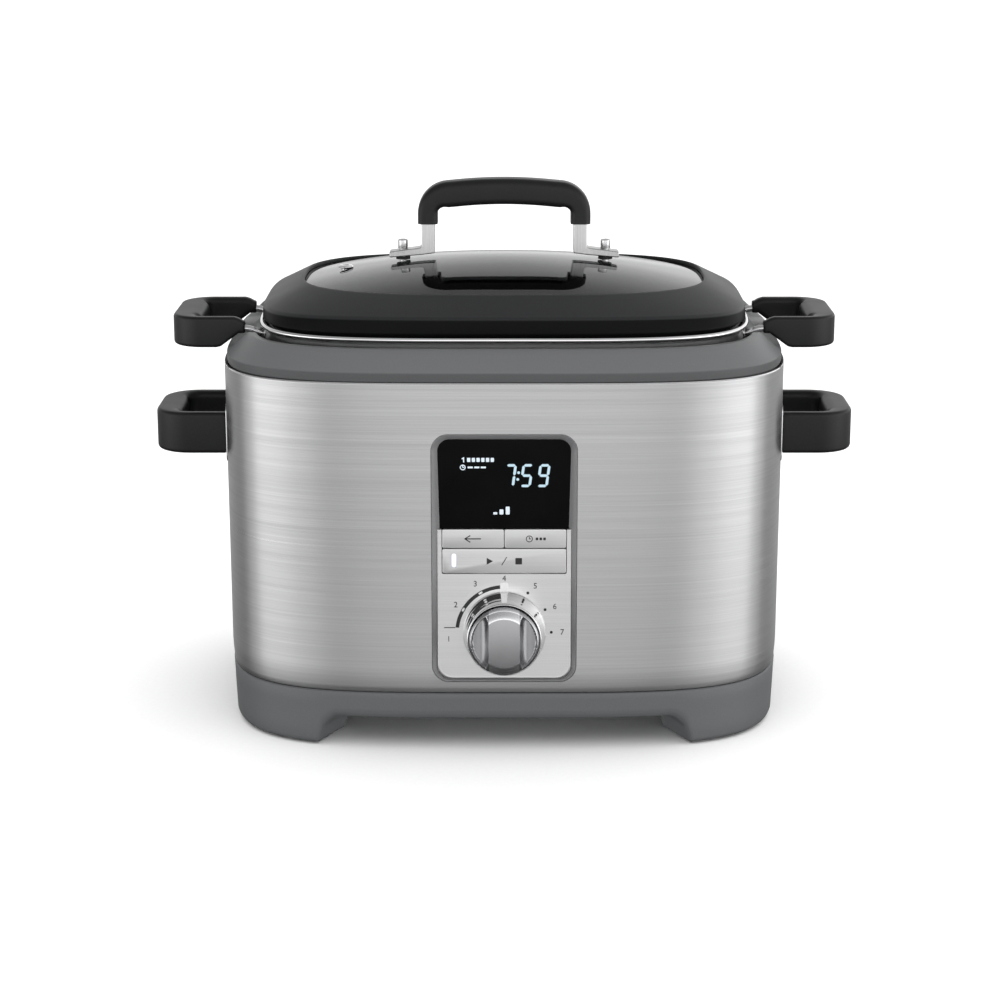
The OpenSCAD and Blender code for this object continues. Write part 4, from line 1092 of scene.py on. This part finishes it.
def knob():
    low, high = span("knob_skirt")
    base = high.y
    depth = base - low.y
    profile = [(24.1, 1.2), (26.0, 0.0), (27.3, 0.0), (27.7, 0.45), (27.5, 1.1), (26.6, 4.0),
               (25.5, 10.0), (24.85, depth - 0.8), (24.5, depth - 0.1), (24.15, depth),
               (23.75, depth - 0.3), (23.6, depth - 1.2), (23.5, depth - 5), (23.0, 4.0)]
    verts, faces = turned(fillet(profile, 0.25, steps=3), 160, loop=True)
    make("knob_skirt_ring", [(u, base - h, DIAL_Z + v) for u, v, h in verts], faces, "dial",
         ["knob_skirt"], CHROME, "chrome", 50)

    rim, face_r, edge_r = 23.1, 16.6, 21.4
    top = base - span("knob_cap")[0].y
    half_bar, scoop_w = 10.1, 6.6
    floor = depth + 2.3

    def crown(r):
        """The cap's height: a slightly domed face, a wide chamfer and a round edge."""
        dome = top - 0.0016 * min(r, face_r) ** 2
        chamfer = 2.6 * max(0, min(1, (r - face_r) / (edge_r - face_r))) ** 1.5
        return dome - chamfer - 1.5 * (max(0, r - edge_r) / (rim - edge_r)) ** 2

    def scoop(x):
        """The height of the hollows beside the grip bar."""
        f = (abs(x) - half_bar) / scoop_w
        if f <= 0:
            return top + 1
        if f < 1:
            return top - (top - floor) * (1 - (1 - f) ** 2.6)
        return floor + 0.035 * (abs(x) - half_bar - scoop_w) ** 2

    def height(x, z):
        r = math.hypot(x, z)
        h = crown(min(r, rim))
        return h - max(0, h - scoop(x)) * smooth((21.7 - r) / 0.7)

    columns = [-rim * math.cos(math.pi * k / 60) for k in range(61)]
    for side in (-1, 1):
        columns += [side * (half_bar + d) for d in (-0.5, -0.1, 0, 0.12, 0.3, 0.6, 1.0, 1.5, 2.1, 2.8,
                                                    3.6, 4.5, 5.5)]
    columns = sorted(set(round(c, 3) for c in columns))
    columns = [c for k, c in enumerate(columns) if k == 0 or c - columns[k - 1] > 0.06]
    rows = 150
    verts, faces = [], []
    for i, x in enumerate(columns):
        reach = math.sqrt(max(0, rim * rim - x * x))
        for k in range(rows + 1):
            z = -reach * math.cos(math.pi * k / rows)
            verts.append((x, base - height(x, z), DIAL_Z + z))
            if i and k:
                a = (i - 1) * (rows + 1) + k - 1
                faces.append((a, a + 1, a + rows + 2, a + rows + 1))
    wall = [[(x, base - h, z) for x, z in circle(r, 180, 0, DIAL_Z)] for r, h in
            ((rim, crown(rim)), (rim, depth - 2.2), (rim - 2, depth - 2.2))]
    # painted highlight: the grip bar's ends beyond the face's radius are brightened almost twofold
    painted_bar_highlight(CAP, face_r - 0.1, half_bar, 1.9)
    make("knob_cap_face", *join((verts, faces), loft(wall, caps=False)), "dial", ["knob_cap"], CAP,
         "satin_metal", 38)


# ---------------------------------------------------------------- CAD nodes that show as they are

def dress(nodes, mat, bevel_width=0.0, angle=35):
    """Gives CAD nodes a finish, eased edges and smooth shading."""
    for node in nodes:
        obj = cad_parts[node]
        obj.data.materials.clear()
        obj.data.materials.append(mat)
        soften(obj, angle)
        if bevel_width:
            bevel(obj, bevel_width, 2, 40)


def inner_parts():
    cast = brushed("cast_aluminium", (0.3, 0.3, 0.3), (0.4, 0.4, 0.4), (180, 180, 180), (0.34, 0.46))
    machined = brushed("machined_aluminium", (0.4, 0.4, 0.4), (0.5, 0.5, 0.5), (420, 420, 420),
                       (0.28, 0.4), 0.0, 0.6)
    coat = moulded("well_coating", (0.2, 0.2, 0.205), (0.26, 0.26, 0.265), (0.38, 0.5), 700, 0.2)
    plain = polished("plain_steel", (0.5, 0.5, 0.51), (0.28, 0.4))
    heat = polished("element_steel", (0.26, 0.22, 0.2), (0.3, 0.42))
    fibre = moulded("ceramic_fibre", (0.62, 0.59, 0.53), (0.74, 0.71, 0.65), (0.85, 0.95), 260, 0.9)
    mica = moulded("mica_band", (0.38, 0.32, 0.22), (0.48, 0.41, 0.3), (0.45, 0.6), 500, 0.25)
    board = moulded("circuit_board", (0.012, 0.1, 0.035), (0.02, 0.15, 0.055), (0.3, 0.4), 900, 0.12)
    ceramic = moulded("fuse_ceramic", (0.72, 0.68, 0.58), (0.8, 0.77, 0.68), (0.3, 0.42), 700, 0.15)
    wire = moulded("wire_silicone", (0.34, 0.03, 0.025), (0.42, 0.045, 0.04), (0.4, 0.5), 800, 0.15)
    dress(["heating_well"], coat, 0.0, 30)
    dress(["heating_plate", "sensor_plunger"], machined, 0.5)
    dress(["pot_base_disc"], cast, 0.6)
    dress(["heating_element"], heat)
    dress(["sensor_bracket", "heat_shield", "well_supports", "rotary_switch", "sensor_spring",
           "knob_shaft"], plain)
    dress(["insulation_blanket"], fibre)
    dress(["band_heater"], mica)
    dress(["power_board", "control_board"], board)
    dress(["thermal_fuse"], ceramic)
    dress(["wiring_harness"], wire)
    dress(["tact_switches", "lcd_module"], INK)
    dress(["cover_screws", "handle_screws", "lid_nuts"], SCREW, 0.25)
    dress(["bottom_cover"], BASE, 0.6)
    dress(["rubber_feet"], RUBBER, 0.8)
    dress(["cord_gland"], BLACK, 0.6)


# ---------------------------------------------------------------- build

steel_shell()
shoulder_ring()
base_shell()
pot_shell()
lid_shells()
lid_seal()
vent()
body_handles()
pot_handles()
lid_handle()
lid_brackets()
lid_bolts()
panel_bezel()
display()
display_marks()
plate()
dial_print()
buttons()
knob()
inner_parts()

# ---------------------------------------------------------------- studio


def surroundings():
    """A soft studio all round: a wide band of light in front and beside, and a paler one above."""
    world = bpy.data.worlds.new("studio")
    bpy.context.scene.world = world
    world.use_nodes = True
    tree = world.node_tree
    x, y, z = split_coords(tree, "Generated")
    front = math_node(tree, "MULTIPLY", y, -1.0)
    turn = math_node(tree, "ABSOLUTE", math_node(tree, "ARCTAN2", x, front))
    turn = math_node(tree, "DIVIDE", turn, math.pi)
    rise = math_node(tree, "MULTIPLY_ADD", z, 0.5, 0.5)
    around, band, above = (
        colour_ramp(tree, value, [(place, (level, level, level)) for place, level in stops], "EASE")
        for value, stops in ((turn, AROUND), (rise, BAND), (rise, ABOVE)))
    level = math_node(tree, "MULTIPLY", band, 2.25)
    above = math_node(tree, "MULTIPLY", above, math_node(tree, "MULTIPLY_ADD", x, 0.55, 1.0))
    total = math_node(tree, "MULTIPLY_ADD", around, level, above)
    back = tree.nodes["Background"]
    tree.links.new(total, back.inputs["Strength"])
    back.inputs["Color"].default_value = (1, 1, 1, 1)
    world.cycles.sampling_method = "NONE"


AROUND = ((0.0, 0.62), (1.0, 0.2), (0.067, 0.54), (0.12, 0.44), (0.217, 0.74), (0.306, 0.96),
          (0.367, 1.0), (0.444, 1.0), (0.533, 0.5), (0.644, 0.18))
BAND = ((0.0, 0.05), (1.0, 0.0), (0.27, 0.08), (0.31, 0.16), (0.345, 0.5), (0.385, 1.0), (0.5, 1.0),
        (0.62, 0.3), (0.72, 0.0))
ABOVE = ((0.0, 0.0), (1.0, 0.45), (0.47, 0.05), (0.54, 0.8), (0.7, 0.8), (0.85, 0.5))


def floor():
    mat = new_material("studio_floor", (0.9, 0.9, 0.9), 0.0, 0.6, Specular_IOR_Level=0.0)
    grain = texture(mat, 300, 2, 0.5)
    vary_colour(mat, grain, (0.89, 0.89, 0.89), (0.91, 0.91, 0.91))
    vary_roughness(mat, grain, 0.55, 0.65)
    mesh = bpy.data.meshes.new("studio_floor")
    half = 12
    mesh.from_pydata([(-half, -half, 0), (half, -half, 0), (half, half, 0), (-half, half, 0)], [],
                     [(0, 1, 2, 3)])
    mesh.materials.append(mat)
    obj = add_object("studio_floor", mesh)
    obj.visible_glossy = False
    obj.visible_diffuse = False
    return obj


CAMERA_BACK = 1700
CAMERA_UP = 572.6
CAMERA_TILT = 0.2514


def studio():
    scene = bpy.context.scene
    surroundings()
    ground = floor()
    sky = bpy.data.lights.new("overhead", "SUN")
    sky.energy = 2.7
    sky.angle = math.radians(120)
    lamp = add_object("overhead", sky)
    lamp.rotation_euler = (math.radians(-6), 0, 0)
    only_floor = bpy.data.collections.new("floor_light")
    only_floor.objects.link(ground)
    lamp.light_linking.receiver_collection = only_floor
    camera = bpy.data.cameras.new("camera")
    camera.lens = 87.9
    camera.sensor_width = 36
    camera.shift_x = -0.0042
    camera.clip_start = 0.1
    camera.clip_end = 50
    obj = add_object("camera", camera)
    obj.location = (0, MIDDLE_Y - CAMERA_BACK * MM, CAMERA_UP * MM)
    obj.rotation_euler = (math.pi / 2 - CAMERA_TILT, 0, 0)
    scene.camera = obj
    scene.view_settings.view_transform = "Standard"


studio()
